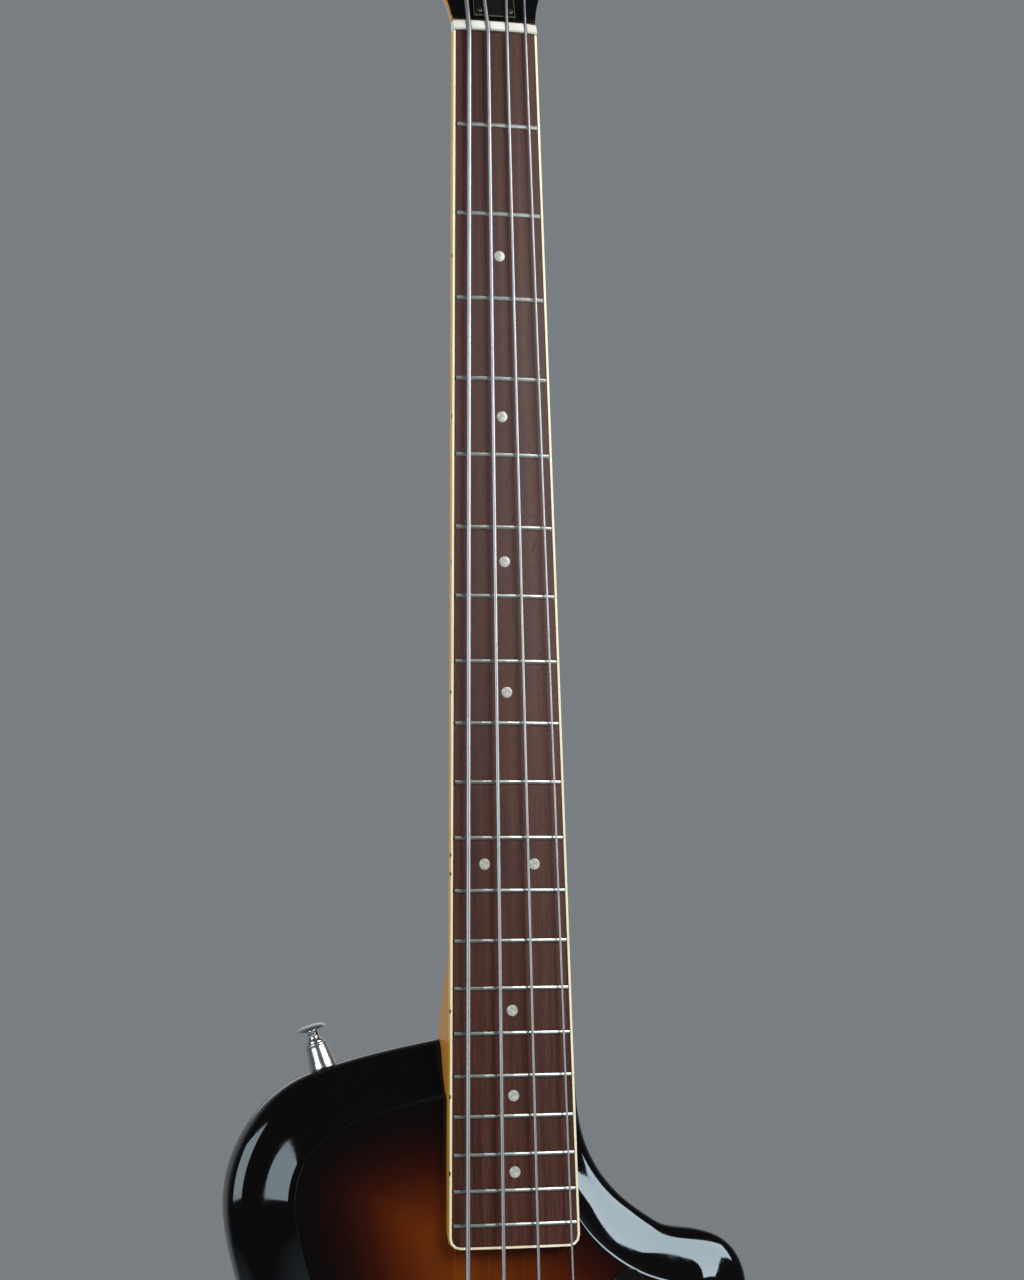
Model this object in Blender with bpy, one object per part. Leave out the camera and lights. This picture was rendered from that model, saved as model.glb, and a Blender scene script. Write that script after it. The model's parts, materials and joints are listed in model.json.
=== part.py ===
"""Four-string electric bass guitar: carved solid body, bolted neck, bound board, open-gear tuners.

Metres. +Z runs up the neck, +X is the treble side and -Y is the front. The origin is the middle of
the flat end of the strap button at the foot of the body. Places along the neck are distances from
the front face of the nut, places on the body are distances beyond the saddles' line, and depths are
measured backwards from the edge of the fingerboard.
"""

import math

import bmesh
import bpy
from mathutils import Matrix, Vector

# Scale and fingerboard
SCALE_LENGTH = 0.864
FRET_COUNT = 20
BOARD_HALF_WIDTH_AT_NUT = 0.02018
BOARD_WIDENING = 0.01799
BOARD_BEYOND_LAST_FRET = 0.009943
BOARD_LENGTH = SCALE_LENGTH * (1 - 2 ** (-FRET_COUNT / 12)) + BOARD_BEYOND_LAST_FRET
BOARD_RADIUS = 0.240
BOARD_CROWN_DEPTH = -0.0012
BOARD_BACK_DEPTH = 0.0050
BOARD_CORNER = 0.0040
BOARD_ARC_POINTS = 5
BINDING_THICKNESS = 0.0011
BINDING_MIDDLE = BOARD_LENGTH / 2
BINDING_END_PLACES = (0.0180, 0.0090, 0.0)
FRET_CROWN_WIDTH = 0.0022
FRET_CROWN_HEIGHT = 0.0010
FRET_SHOULDER_WIDTH = 0.7
FRET_SHOULDER_HEIGHT = 0.8
FRET_TANG_WIDTH = 0.0006
FRET_TANG_DEPTH = 0.0015
FRET_END_INSET = 0.0004

# Fits between pieces
SEAT_GAP = 0.0003
TURNING_GAP = 0.00035
CUTTER_REACH = 0.0040
END_FACE = 0.0001

# Nut and strings
NUT_LENGTH = 0.0052
NUT_CROWN_DEPTH = -0.0036
NUT_BACK_FALL = 0.0016
NUT_STEPS = 8
NUT_END_ROUND = 0.0012
NUT_EDGE_ROUND = 0.0007
NUT_GROOVE_REACH = 0.0120
NUT_GROOVE_HEIGHT = 0.0060
NUT_STRING_SPACING = 0.0098
NUT_STRING_CENTRE = 0.0005
SADDLE_STRING_SPACING = 0.0204
SADDLE_STRING_CENTRE = 0.0015
STRING_LIFT_AT_NUT = 0.0004
STRING_LIFT_AT_SADDLE = 0.0034
WINDING_GAP = 0.0005
STRINGS = (
    {"name": "e", "place": -1.5, "diameter": 0.0024, "turns": 2.5, "tuner": "e"},
    {"name": "a", "place": -0.5, "diameter": 0.0020, "turns": 2.5, "tuner": "a"},
    {"name": "d", "place": 0.5, "diameter": 0.0015, "turns": 3.0, "tuner": "d"},
    {"name": "g", "place": 1.5, "diameter": 0.00115, "turns": 3.0, "tuner": "g"},
)
WINDING_POINTS_PER_TURN = 12
BALL_END_DIAMETER = 0.0040
BALL_END_LENGTH = 0.0030
BALL_END_SHOULDER = 0.0002

# Body
BODY_FOOT = 0.0830
BODY_END = -0.3610
AXIS_DEPTH = 0.0330
TOP_DEPTH = 0.0074
LIP_DEPTH = 0.0254
BACK_DEPTH = 0.0450
BACK_ROUND = 0.0060
BODY_STEPS = 4
# Outline of the side wall: distance across, distance beyond the saddles' line, heading in degrees.
BODY_EDGE = (
    (-0.0300, BODY_END, 190),
    (-0.0804, -0.3500, 196),
    (-0.1051, -0.3402, 212),
    (-0.1227, -0.3230, 235),
    (-0.1356, -0.2840, 270),
    (-0.1297, -0.2487, 285),
    (-0.1080, -0.1720, 271),
    (-0.1600, -0.0460, 270),
    (-0.0920, 0.0660, 340),
    (0.0000, BODY_FOOT, 0),
    (0.1000, 0.0700, 17),
    (0.1720, -0.0220, 90),
    (0.0990, -0.1680, 90),
    (0.1242, -0.2340, 90),
    (0.1156, -0.2575, 135),
    (0.0943, -0.2663, 172),
    (0.0773, -0.2705, 148),
    (0.0547, -0.2885, 131),
    (0.0424, -0.3097, 109),
    (0.0379, -0.3400, 93),
    (0.0366, -0.3535, 92),
    (0.0300, -0.3608, 178),
)
# Inner edge of the carved border, one point for each of the outline's.
TOP_EDGE = (
    (-0.0250, -0.3340, 191),
    (-0.0729, -0.3237, 198),
    (-0.0893, -0.3153, 215),
    (-0.0992, -0.3069, 235),
    (-0.1059, -0.2840, 270),
    (-0.1012, -0.2565, 284),
    (-0.0800, -0.1720, 271),
    (-0.1320, -0.0460, 270),
    (-0.0824, 0.0397, 340),
    (0.0000, 0.0550, 0),
    (0.0918, 0.0432, 17),
    (0.1440, -0.0220, 90),
    (0.0710, -0.1680, 90),
    (0.0972, -0.2310, 90),
    (0.0958, -0.2370, 135),
    (0.0905, -0.2396, 165),
    (0.0635, -0.2480, 153),
    (0.0358, -0.2716, 124),
    (0.0180, -0.2990, 112),
    (0.0120, -0.3220, 100),
    (0.0085, -0.3305, 130),
    (0.0040, -0.3330, 178),
)
# Section of the carve from the flat top outwards: share of its width, share of its fall.
CARVE_SECTION = (
    (0.0, 0.0),
    (0.17, 0.26),
    (0.48, 0.48),
    (0.69, 0.63),
    (0.90, 0.78),
    (0.97, 0.87),
    (1.0, 1.0),
)
BACK_ROUND_DEGREES = (0, 30, 60, 90)

# Neck and headstock
NECK_BACK_AT_NUT = 0.0195
NECK_BACK_AT_HEEL = 0.0230
HEEL_DEPTH = 0.0280
HEEL_LEAD = 0.0030
HEEL_BLEND = 0.0500
HEEL_FULL = SCALE_LENGTH + BODY_END - HEEL_LEAD
HEEL_START = HEEL_FULL - HEEL_BLEND
HEEL_BACK_ROUND = 0.0030
HEEL_SIDE_POWER = 1.5
POCKET_LEAD = 0.0200
NECK_SHORT_OF_BOARD = 0.0018
NECK_LENGTH = BOARD_LENGTH - NECK_SHORT_OF_BOARD
NECK_CORNER = 0.0050
NECK_SIDE_FLAT = 0.0080
NECK_ARC_POINTS = 9
NECK_SHARES = (0.045, 0.22, 0.44, 0.67, 0.89)
HEEL_SHARES = (0, 0.24, 0.44, 0.64, 0.82, 1)
NECK_ROOT_START = -0.0170
NECK_ROOT_TOP = 0.0090
NECK_ROOT_SIDE = 0.0020
NECK_ROOT_SWELL = 0.0008
HEAD_TILT = math.radians(14)
HEAD_THICKNESS = 0.0160
HEAD_FACE_DEPTH = 0.0010
HEAD_START = 0.0012
HEAD_BACK_BEVEL = 0.0015
HEAD_FACE_BEVEL = 0.0008
HEAD_HALF_OUTLINE = (
    (0.0216, 0.0000, 84),
    (0.0243, 0.0140, 72),
    (0.0345, 0.0420, 75),
    (0.0362, 0.0620, 95),
    (0.0300, 0.1150, 93),
    (0.0315, 0.1650, 84),
    (0.0250, 0.1990, 150),
    (0.0000, 0.2080, 180),
)
HEAD_STEPS = 3
TRUSS_ROD_RADIUS = 0.0025
TRUSS_ROD_DEPTH = 0.0098
TRUSS_ROD_SHORT_OF_NECK = 0.0450
TRUSS_ROD_END = NECK_LENGTH - TRUSS_ROD_SHORT_OF_NECK
TRUSS_NUT_RADIUS = 0.0038
TRUSS_NUT_LENGTH = 0.0100
TRUSS_NUT_TOP = -0.0240
TRUSS_POCKET_WIDTH = 0.0110
TRUSS_POCKET_LENGTH = 0.0300
TRUSS_POCKET_LEAD = 0.0020
TRUSS_POCKET_CORNER = 0.0030
ROD_CHANNEL_START = -0.0120
ROD_CHANNEL_TOP = 0.0035
COVER_THICKNESS = 0.0020
COVER_BEVEL = 0.0010
COVER_HALF_OUTLINE = (
    (0.0000, 0.0024, 0),
    (0.0102, 0.0024, 0),
    (0.0110, 0.0032, 90),
    (0.0096, 0.0300, 95),
    (0.0066, 0.0425, 120),
    (0.0000, 0.0475, 180),
)

# Tuners: an open worm and wheel on a plate behind the headstock
TUNERS = {
    "e": {"across": -0.0220, "up": 0.0600, "side": -1},
    "a": {"across": -0.0165, "up": 0.1300, "side": -1},
    "d": {"across": 0.0165, "up": 0.1300, "side": 1},
    "g": {"across": 0.0220, "up": 0.0600, "side": 1},
}
POST_RADIUS = 0.00475
POST_WAIST_RADIUS = 0.0040
POST_WAIST_LOW = 0.0045
POST_CAP = 0.0030
POST_SLOT_WIDTH = 0.0026
POST_SLOT_DEPTH = 0.0070
POST_SIDES = 14
POST_EDGE = 0.0008
POST_WAIST_SLOPE = 0.0010
POST_SLOT_CORNER = 0.0004
WINDING_START = 0.0062
WINDING_TOP = max(
    string["turns"] * (string["diameter"] + WINDING_GAP) + string["diameter"] / 2
    for string in STRINGS
)
POST_WAIST_HIGH = WINDING_START + WINDING_TOP + TURNING_GAP
POST_HEIGHT = POST_WAIST_HIGH + POST_CAP
PLATE_THICKNESS = 0.0015
PLATE_CORNER = 0.0040
WHEEL_TEETH = 20
WHEEL_RADIUS = 0.0100
WHEEL_TIP_RADIUS = WHEEL_RADIUS + 0.0008
WHEEL_ROOT_RADIUS = WHEEL_RADIUS - 0.0011
WHEEL_THICKNESS = 0.0040
WHEEL_COLLAR_RADIUS = 0.0064
WORM_RADIUS = 0.0032
WORM_TIP_RADIUS = WORM_RADIUS + 0.0007
WORM_CORE_RADIUS = WORM_RADIUS - 0.0012
WORM_DISTANCE = WHEEL_RADIUS + WORM_RADIUS
WORM_PITCH = 2 * math.pi * WHEEL_RADIUS / WHEEL_TEETH
WORM_LENGTH = 0.0125
WORM_SIDES = 10
WORM_STEPS_PER_PITCH = 5
WORM_THREAD_SHARE = 0.30
WORM_SHOULDER = 0.0006
WHEEL_TOOTH = (
    (0.28, WHEEL_ROOT_RADIUS),
    (0.40, WHEEL_TIP_RADIUS),
    (0.60, WHEEL_TIP_RADIUS),
    (0.72, WHEEL_ROOT_RADIUS),
)
PLATE_HALF_WIDTH = WHEEL_TIP_RADIUS + 0.0017
PLATE_TOP = WHEEL_TIP_RADIUS + 0.0042
PLATE_BOTTOM = -(WORM_DISTANCE + 0.0128)
LUG_CLEARANCE = 0.00135
LUG_INSIDE = WORM_LENGTH / 2 + WORM_SHOULDER + LUG_CLEARANCE
LUG_THICKNESS = 0.0020
LUG_HALF_WIDTH = 0.0040
LUG_TOP = WORM_TIP_RADIUS + 0.0012
LUG_CORNER = 0.0020
KEY_SHAFT_RADIUS = 0.0022
KEY_INNER_END = -(LUG_INSIDE + LUG_THICKNESS + 0.0010)
KEY_NECK = 0.0190
KEY_COLLAR_RADIUS = 0.0036
KEY_COLLAR_LENGTH = 0.0020
KEY_COLLAR_SLOPE = 0.0030
KEY_TIP_RADIUS = 0.0014
KEY_CENTRE = 0.0340
KEY_RADIUS = 0.0135
KEY_LOBE = 0.14
KEY_THICKNESS = 0.0032
KEY_EDGE = 0.0008
KEY_EDGE_INSET = 0.0012
KEY_POINTS = 18

# Bridge
BRIDGE_FRONT = SCALE_LENGTH - 0.0160
BRIDGE_BACK = SCALE_LENGTH + 0.0360
BRIDGE_THICKNESS = 0.0020
BRIDGE_WALL_DEPTH = -0.0080
BRIDGE_CORNER = 0.0050
BRIDGE_WALL_INSET = 0.0020
BRIDGE_WALL_CORNER = 0.0018
BALL_HOLE_RADIUS = max(string["diameter"] for string in STRINGS) / 2 + 0.0006
BALL_HOLE_DEPTH = -0.0010
INTONATION_HOLE_RADIUS = 0.0019
INTONATION_HOLE_DEPTH = -0.0052
SADDLE_RADIUS = 0.0040
SADDLE_TRAVEL = 0.0050
SADDLE_SIDE_GAP = 0.0024
SADDLE_LENGTH = SADDLE_STRING_SPACING - SADDLE_SIDE_GAP
BRIDGE_HALF_WIDTH = 1.5 * SADDLE_STRING_SPACING + SADDLE_LENGTH / 2 + 0.0014
SADDLE_GROOVE = 0.0008
SADDLE_EDGE = 0.0006
GRUB_RADIUS = 0.0015
GRUB_OFFSET = 0.0062
GRUB_PROUD = 0.0008
SADDLE_SCREW_RADIUS = 0.0019
SADDLE_SCREW_DEPTH = 0.0008

# Pickguard, pickups and controls
GUARD_THICKNESS = 0.0025
GUARD_BEVEL = 0.0012
GUARD_STEPS = 3
GUARD_EDGE = (
    (0.0590, -0.2487, 183),
    (0.0505, -0.2450, 232),
    (0.0400, -0.2160, 250),
    (-0.0150, -0.1880, 183),
    (-0.0560, -0.1600, 250),
    (-0.0560, -0.1140, 280),
    (-0.0420, -0.0510, 283),
    (-0.0300, -0.0310, 350),
    (0.0450, -0.0220, 340),
    (0.0640, 0.0090, 300),
    (0.0980, 0.0290, 8),
    (0.1300, -0.0120, 88),
    (0.1060, -0.0920, 124),
    (0.0610, -0.1680, 92),
    (0.0715, -0.2240, 86),
    (0.0655, -0.2440, 122),
)
PICKUP_WIDTH = 0.0560
PICKUP_LENGTH = 0.0280
PICKUP_CORNER = 0.0040
PICKUP_TOP_DEPTH = -0.0004
PICKUP_BOTTOM_DEPTH = 0.0190
PICKUP_FIT = 0.0005
PICKUP_EDGE = 0.0010
PICKUP_POLE_RADIUS = 0.0025
PICKUP_POLE_HEIGHT = 0.0006
PICKUP_POLE_SPREAD = 0.0052
PICKUP_DISTANCE = SCALE_LENGTH - 0.1580
PICKUP_STAGGER = PICKUP_LENGTH + 0.0010
PICKUPS = (
    {"name": "pickup_bass_half", "strings": (0, 1), "distance": PICKUP_DISTANCE},
    {"name": "pickup_treble_half", "strings": (2, 3), "distance": PICKUP_DISTANCE + PICKUP_STAGGER},
)
ROUT_FLOOR = 0.0220
CONTROL_FLOOR = 0.0360
ROUT_END_SHARE = 0.98
CONTROL_ROUT_RADIUS = 0.0145
JACK_ROUT_RADIUS = 0.0105
CONTROLS = (
    {"name": "volume", "across": 0.0960, "distance": SCALE_LENGTH - 0.0660},
    {"name": "tone", "across": 0.1060, "distance": SCALE_LENGTH - 0.0280},
)
JACK = {"name": "jack", "across": 0.0900, "distance": SCALE_LENGTH + 0.0060}
POT_RADIUS = 0.0120
POT_DEPTH = 0.0090
POT_BUSH_RADIUS = 0.0046
POT_NUT_RADIUS = 0.0065
POT_NUT_HEIGHT = 0.0022
POT_BORE_DEPTH = 0.0060
POT_EDGE = 0.0010
KNOB_SHAFT_RADIUS = 0.0030
KNOB_RADIUS = 0.0095
KNOB_HEIGHT = 0.0160
KNOB_CLEARANCE = 0.0006
KNOB_SKIRT_HEIGHT = 0.0030
KNOB_SKIRT_STEP = 0.0004
KNOB_TOP_EDGE = 0.0015
JACK_BORE_RADIUS = 0.0033
JACK_BARREL_RADIUS = 0.0048
JACK_NUT_RADIUS = 0.0075
JACK_NUT_HEIGHT = 0.0026
JACK_LENGTH = 0.0230
JACK_FLANGE_HEIGHT = 0.0030

# Strap buttons and neck plate
BUTTON_HEIGHT = 0.0090
BUTTON_HEAD_RADIUS = 0.00715
BUTTON_END_RADIUS = 0.0045
BUTTON_NECK_RADIUS = 0.0027
BUTTON_FOOT_RADIUS = 0.0044
SPACER_HEIGHT = 0.0123
SPACER_FOOT_RADIUS = 0.00675
SPACER_TOP_RADIUS = 0.0050
UPPER_BUTTON_ANCHOR = 1
UPPER_BUTTON_SHARE = 0.25
NECK_PLATE_WIDTH = 0.0520
NECK_PLATE_LENGTH = 0.0640
NECK_PLATE_THICKNESS = 0.0016
NECK_PLATE_CORNER = 0.0060
NECK_PLATE_EDGE = 0.0005
NECK_PLATE_DISTANCE = SCALE_LENGTH - 0.3100

# Heights that follow from the sizes above
SADDLE_HEIGHT = BUTTON_HEIGHT + SEAT_GAP + BODY_FOOT
NUT_HEIGHT = SADDLE_HEIGHT + SCALE_LENGTH
BRIDGE_TOP_DEPTH = TOP_DEPTH - SEAT_GAP - BRIDGE_THICKNESS
GUARD_TOP_DEPTH = TOP_DEPTH - SEAT_GAP - GUARD_THICKNESS
NECK_TOP_DEPTH = BOARD_BACK_DEPTH + SEAT_GAP
NUT_BACK = -(SEAT_GAP + NUT_LENGTH)
PLATE_FRONT = -(HEAD_THICKNESS + SEAT_GAP)
PLATE_BACK = PLATE_FRONT - PLATE_THICKNESS
WHEEL_MIDDLE = PLATE_BACK - SEAT_GAP - WORM_TIP_RADIUS

FRONT = Vector((0, -1, 0))
UP = Vector((0, 0, 1))


def finish(name, colour, roughness, metallic=0.0):
    """Material of one kind of surface."""
    material = bpy.data.materials.new(name)
    material.use_nodes = True
    shader = material.node_tree.nodes["Principled BSDF"]
    shader.inputs["Base Color"].default_value = (*colour, 1.0)
    shader.inputs["Roughness"].default_value = roughness
    shader.inputs["Metallic"].default_value = metallic
    material.diffuse_color = (*colour, 1.0)
    return material


def clear_scene():
    """Takes every object out of the scene."""
    for item in list(bpy.data.objects):
        bpy.data.objects.remove(item, do_unlink=True)


def depth_to_y(depth):
    """Y of a depth behind the edge of the fingerboard."""
    return depth - AXIS_DEPTH


def point(across, distance, depth):
    """World point from a distance across, a distance from the nut and a depth."""
    return Vector((across, depth_to_y(depth), NUT_HEIGHT - distance))


def place(name, mesh_builder, material, frame=None, smooth_degrees=40):
    """Object from a bmesh, with round surfaces shaded smooth."""
    mesh = bpy.data.meshes.new(name)
    bmesh.ops.recalc_face_normals(mesh_builder, faces=mesh_builder.faces)
    mesh_builder.to_mesh(mesh)
    mesh_builder.free()
    mesh.shade_smooth()
    mesh.set_sharp_from_angle(angle=math.radians(smooth_degrees))
    item = bpy.data.objects.new(name, mesh)
    bpy.context.scene.collection.objects.link(item)
    if material:
        mesh.materials.append(material)
    if frame:
        item.matrix_world = frame
    return item


def loft(rings):
    """Closed solid through rings of equal point count."""
    solid = bmesh.new()
    loops = [[solid.verts.new(spot) for spot in ring] for ring in rings]
    for low, high in zip(loops, loops[1:]):
        for index in range(len(low)):
            after = (index + 1) % len(low)
            solid.faces.new((low[index], low[after], high[after], high[index]))
    solid.faces.new(loops[0])
    solid.faces.new(loops[-1])
    return solid


def lathe(profile, sides):
    """Solid turned about local Z from pairs of radius and height."""
    rings = []
    for radius, height in profile:
        ring = []
        for index in range(sides):
            angle = 2 * math.pi * index / sides
            ring.append((radius * math.cos(angle), radius * math.sin(angle), height))
        rings.append(ring)
    return loft(rings)


def modify(item, tool, operation):
    """Boolean of a hidden tool object on an item."""
    tool.hide_render = True
    tool.display_type = "WIRE"
    change = item.modifiers.new(tool.name, "BOOLEAN")
    change.operation = operation
    change.object = tool
    change.solver = "EXACT"


def cut(item, tool):
    """Takes the tool's shape out of the item."""
    modify(item, tool, "DIFFERENCE")


def join(item, tool):
    """Adds the tool's shape to the item."""
    modify(item, tool, "UNION")


def frame_along(origin, direction, reference):
    """Matrix at origin whose local Z is the direction and whose local X is nearest the reference."""
    local_z = Vector(direction).normalized()
    local_y = local_z.cross(Vector(reference)).normalized()
    local_x = local_y.cross(local_z)
    turn = Matrix((local_x, local_y, local_z)).transposed().to_4x4()
    return Matrix.Translation(origin) @ turn


def heading_vector(heading):
    """Unit direction in the plane of the front, from a heading in degrees."""
    return Vector((math.cos(math.radians(heading)), math.sin(math.radians(heading))))


def arc_between(start, end, steps):
    """Points from one anchor up to the next along a curve close to a circular arc."""
    first, last = Vector(start[:2]), Vector(end[:2])
    chord = last - first
    leave, arrive = heading_vector(start[2]), heading_vector(end[2])
    reach_out = chord.length * 2 / 3 / (1 + max(leave.dot(chord.normalized()), 0.0))
    reach_in = chord.length * 2 / 3 / (1 + max(arrive.dot(chord.normalized()), 0.0))
    second, third = first + leave * reach_out, last - arrive * reach_in
    spots = []
    for index in range(steps):
        share = index / steps
        rest = 1 - share
        spots.append(
            rest**3 * first + 3 * rest**2 * share * second
            + 3 * rest * share**2 * third + share**3 * last
        )
    return spots


def smooth_loop(anchors, steps):
    """Closed curve through anchors of place and heading."""
    spots = []
    for index, anchor in enumerate(anchors):
        spots += arc_between(anchor, anchors[(index + 1) % len(anchors)], steps)
    return spots


def upright(anchors):
    """Anchors with their distances beyond the saddles turned into heights in the front's plane."""
    return [(across, SADDLE_HEIGHT - beyond, heading) for across, beyond, heading in anchors]


def mirrored_half(half, steps):
    """Closed symmetric outline from anchors of its right half, bottom to top."""
    right = []
    for start, end in zip(half, half[1:]):
        right += arc_between(start, end, steps)
    right.append(Vector(half[-1][:2]))
    left = [Vector((-spot.x, spot.y)) for spot in reversed(right) if spot.x > 1e-6]
    return right + left


def inset(loop, amount):
    """Closed counter-clockwise loop moved inwards along its corner normals."""
    moved = []
    for index, spot in enumerate(loop):
        run = loop[(index + 1) % len(loop)] - loop[index - 1]
        moved.append(spot + Vector((-run.y, run.x)).normalized() * amount)
    return moved


def rounded_rectangle(half_width, low, high, corner, steps=3):
    """Counter-clockwise rectangle with round corners."""
    spots = []
    corners = (
        (half_width - corner, high - corner, 0),
        (-half_width + corner, high - corner, 90),
        (-half_width + corner, low + corner, 180),
        (half_width - corner, low + corner, 270),
    )
    for middle_x, middle_y, start in corners:
        for index in range(steps + 1):
            angle = math.radians(start + 90 * index / steps)
            spots.append(
                Vector((middle_x + corner * math.cos(angle), middle_y + corner * math.sin(angle)))
            )
    return spots


def slab(loop, levels):
    """Solid of one outline through pairs of height and inset, in local X, Y and Z."""
    rings = []
    for height, amount in levels:
        edge = inset(loop, amount) if amount else loop
        rings.append([(spot.x, spot.y, height) for spot in edge])
    return loft(rings)


def board_surface(across):
    """Depth of the fingerboard's playing surface at a distance across."""
    return BOARD_CROWN_DEPTH + BOARD_RADIUS - math.sqrt(BOARD_RADIUS**2 - across**2)


def board_half_width(distance):
    """Half width of the fingerboard's wood."""
    return BOARD_HALF_WIDTH_AT_NUT + BOARD_WIDENING * distance


def neck_half_width(distance):
    """Half width of the neck, flush with the outside of the binding."""
    return board_half_width(distance) + SEAT_GAP + BINDING_THICKNESS


def fret_distance(number):
    """Distance of a fret from the nut."""
    return SCALE_LENGTH * (1 - 2 ** (-number / 12))


def corner_loss(distance, length, corner):
    """How much a round end corner takes off the half width at a distance along."""
    into = distance - (length - corner)
    if into <= 0:
        return 0.0
    return corner - math.sqrt(max(corner**2 - into**2, 0.0))


def corner_stations(length, corner, count=4):
    """Distances that follow a round end corner."""
    turns = [math.radians(90 * index / count) for index in range(count + 1)]
    return [length - corner + corner * math.sin(turn) for turn in turns]


def head_frame():
    """Matrix of the headstock's face: local X across, local Y up the head, local Z out of the face."""
    origin = point(0, NUT_BACK - SEAT_GAP, HEAD_FACE_DEPTH)
    return Matrix.Translation(origin) @ Matrix.Rotation(math.pi / 2 - HEAD_TILT, 4, "X")


def front_frame(across, distance, depth):
    """Matrix on the front: local X across, local Y up the neck, local Z out of the front."""
    return frame_along(point(across, distance, depth), FRONT, (1, 0, 0))


def string_lift(share):
    """Height of a string's underside over the frets, at a share of the way from nut to saddle."""
    return STRING_LIFT_AT_NUT + (STRING_LIFT_AT_SADDLE - STRING_LIFT_AT_NUT) * share


def string_point(string, share):
    """Middle of a string at a share of the way from nut to saddle."""
    low = NUT_STRING_CENTRE + NUT_STRING_SPACING * string["place"]
    high = SADDLE_STRING_CENTRE + SADDLE_STRING_SPACING * string["place"]
    ends = []
    for across, end in ((low, 0.0), (high, 1.0)):
        rise = FRET_CROWN_HEIGHT + string_lift(end) + string["diameter"] / 2
        ends.append(point(across, SCALE_LENGTH * end, board_surface(across) - rise))
    return ends[0].lerp(ends[1], share)


def winding_radius(string):
    """Radius of a string's middle round its post."""
    return POST_WAIST_RADIUS + TURNING_GAP + string["diameter"] / 2


def winding_points(string):
    """Points of a string's turns round its post, from the lowest turn up, in world space."""
    tuner = TUNERS[string["tuner"]]
    head = head_frame()
    nut_spot = head.inverted() @ string_point(string, 0)
    from_post = Vector((nut_spot.x - tuner["across"], nut_spot.y - tuner["up"]))
    radius = winding_radius(string)
    direction = math.atan2(from_post.y, from_post.x)
    swing = math.acos(radius / from_post.length)
    turning = -tuner["side"]
    first = direction + turning * swing
    pitch = string["diameter"] + WINDING_GAP
    spots = []
    count = round(string["turns"] * WINDING_POINTS_PER_TURN)
    for index in range(count + 1):
        turn = index / WINDING_POINTS_PER_TURN
        angle = first + turning * 2 * math.pi * turn
        spots.append(
            head
            @ Vector(
                (
                    tuner["across"] + radius * math.cos(angle),
                    tuner["up"] + radius * math.sin(angle),
                    WINDING_START + pitch * turn,
                )
            )
        )
    return spots


def least_turn_gap(string, spots):
    """Least gap between one turn of a string and the next, measured on its points."""
    nearest = math.inf
    for index, spot in enumerate(spots):
        for other in spots[index + WINDING_POINTS_PER_TURN - 1:]:
            nearest = min(nearest, (other - spot).length)
    return nearest - string["diameter"]


def carve_rings():
    """Rings of the body from the flat top, over the carved border and the side, to the back."""
    edge = smooth_loop(upright(BODY_EDGE), BODY_STEPS)
    top = smooth_loop(upright(TOP_EDGE), BODY_STEPS)
    rings = []
    for width_share, fall_share in CARVE_SECTION:
        y = depth_to_y(TOP_DEPTH + (LIP_DEPTH - TOP_DEPTH) * fall_share)
        ring = [inner.lerp(outer, width_share) for inner, outer in zip(top, edge)]
        rings.append([(spot.x, y, spot.y) for spot in ring])
    for degrees in BACK_ROUND_DEGREES:
        turn = math.radians(degrees)
        y = depth_to_y(BACK_DEPTH - BACK_ROUND * (1 - math.sin(turn)))
        ring = inset(edge, BACK_ROUND * (1 - math.cos(turn)))
        rings.append([(spot.x, y, spot.y) for spot in ring])
    return rings


def make_body(material):
    """Body with its neck pocket, pickup routs, control rout and jack bore."""
    body = place("body", loft(carve_rings()), material, smooth_degrees=35)
    cut(body, pocket_tool())
    for pickup in PICKUPS:
        half_width = PICKUP_WIDTH / 2 + PICKUP_FIT
        half_length = PICKUP_LENGTH / 2 + PICKUP_FIT
        outline = rounded_rectangle(half_width, -half_length, half_length, PICKUP_CORNER)
        levels = ((-ROUT_FLOOR, 0), (CUTTER_REACH, 0))
        frame = front_frame(pickup_across(pickup), pickup["distance"], 0)
        cut(body, place(pickup["name"] + "_rout", slab(outline, levels), None, frame))
    volume, tone = CONTROLS
    cut(body, slot_tool("control_rout", volume, tone, CONTROL_ROUT_RADIUS))
    cut(body, slot_tool("jack_rout", tone, JACK, JACK_ROUT_RADIUS))
    return body


def slot_tool(name, first, last, radius):
    """Deep round-ended rout between two places on the front."""
    start = Vector((first["across"], NUT_HEIGHT - first["distance"]))
    end = Vector((last["across"], NUT_HEIGHT - last["distance"]))
    half_length = (end - start).length / 2 + radius
    outline = rounded_rectangle(radius, -half_length, half_length, radius * ROUT_END_SHARE, 4)
    middle = (start + end) / 2
    run = (end - start).normalized()
    sideways = Vector((run.y, 0, -run.x))
    frame = frame_along((middle.x, depth_to_y(0), middle.y), FRONT, sideways)
    return place(name, slab(outline, ((-CONTROL_FLOOR, 0), (CUTTER_REACH, 0))), None, frame)


def pocket_tool():
    """Space of the neck's heel in the body."""
    low, high = depth_to_y(-CUTTER_REACH), depth_to_y(HEEL_DEPTH + SEAT_GAP)
    rings = []
    for distance in [HEEL_FULL - POCKET_LEAD] + corner_stations(NECK_LENGTH, NECK_CORNER):
        loss = corner_loss(distance, NECK_LENGTH, NECK_CORNER)
        half = neck_half_width(distance) - loss + SEAT_GAP
        z = NUT_HEIGHT - distance - SEAT_GAP
        rings.append([(-half, low, z), (half, low, z), (half, high, z), (-half, high, z)])
    return place("neck_pocket", loft(rings), None)


def blend(value, low, high):
    """Smooth step from 0 at low to 1 at high."""
    share = min(max((value - low) / (high - low), 0.0), 1.0)
    return share * share * (3 - 2 * share)


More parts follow.
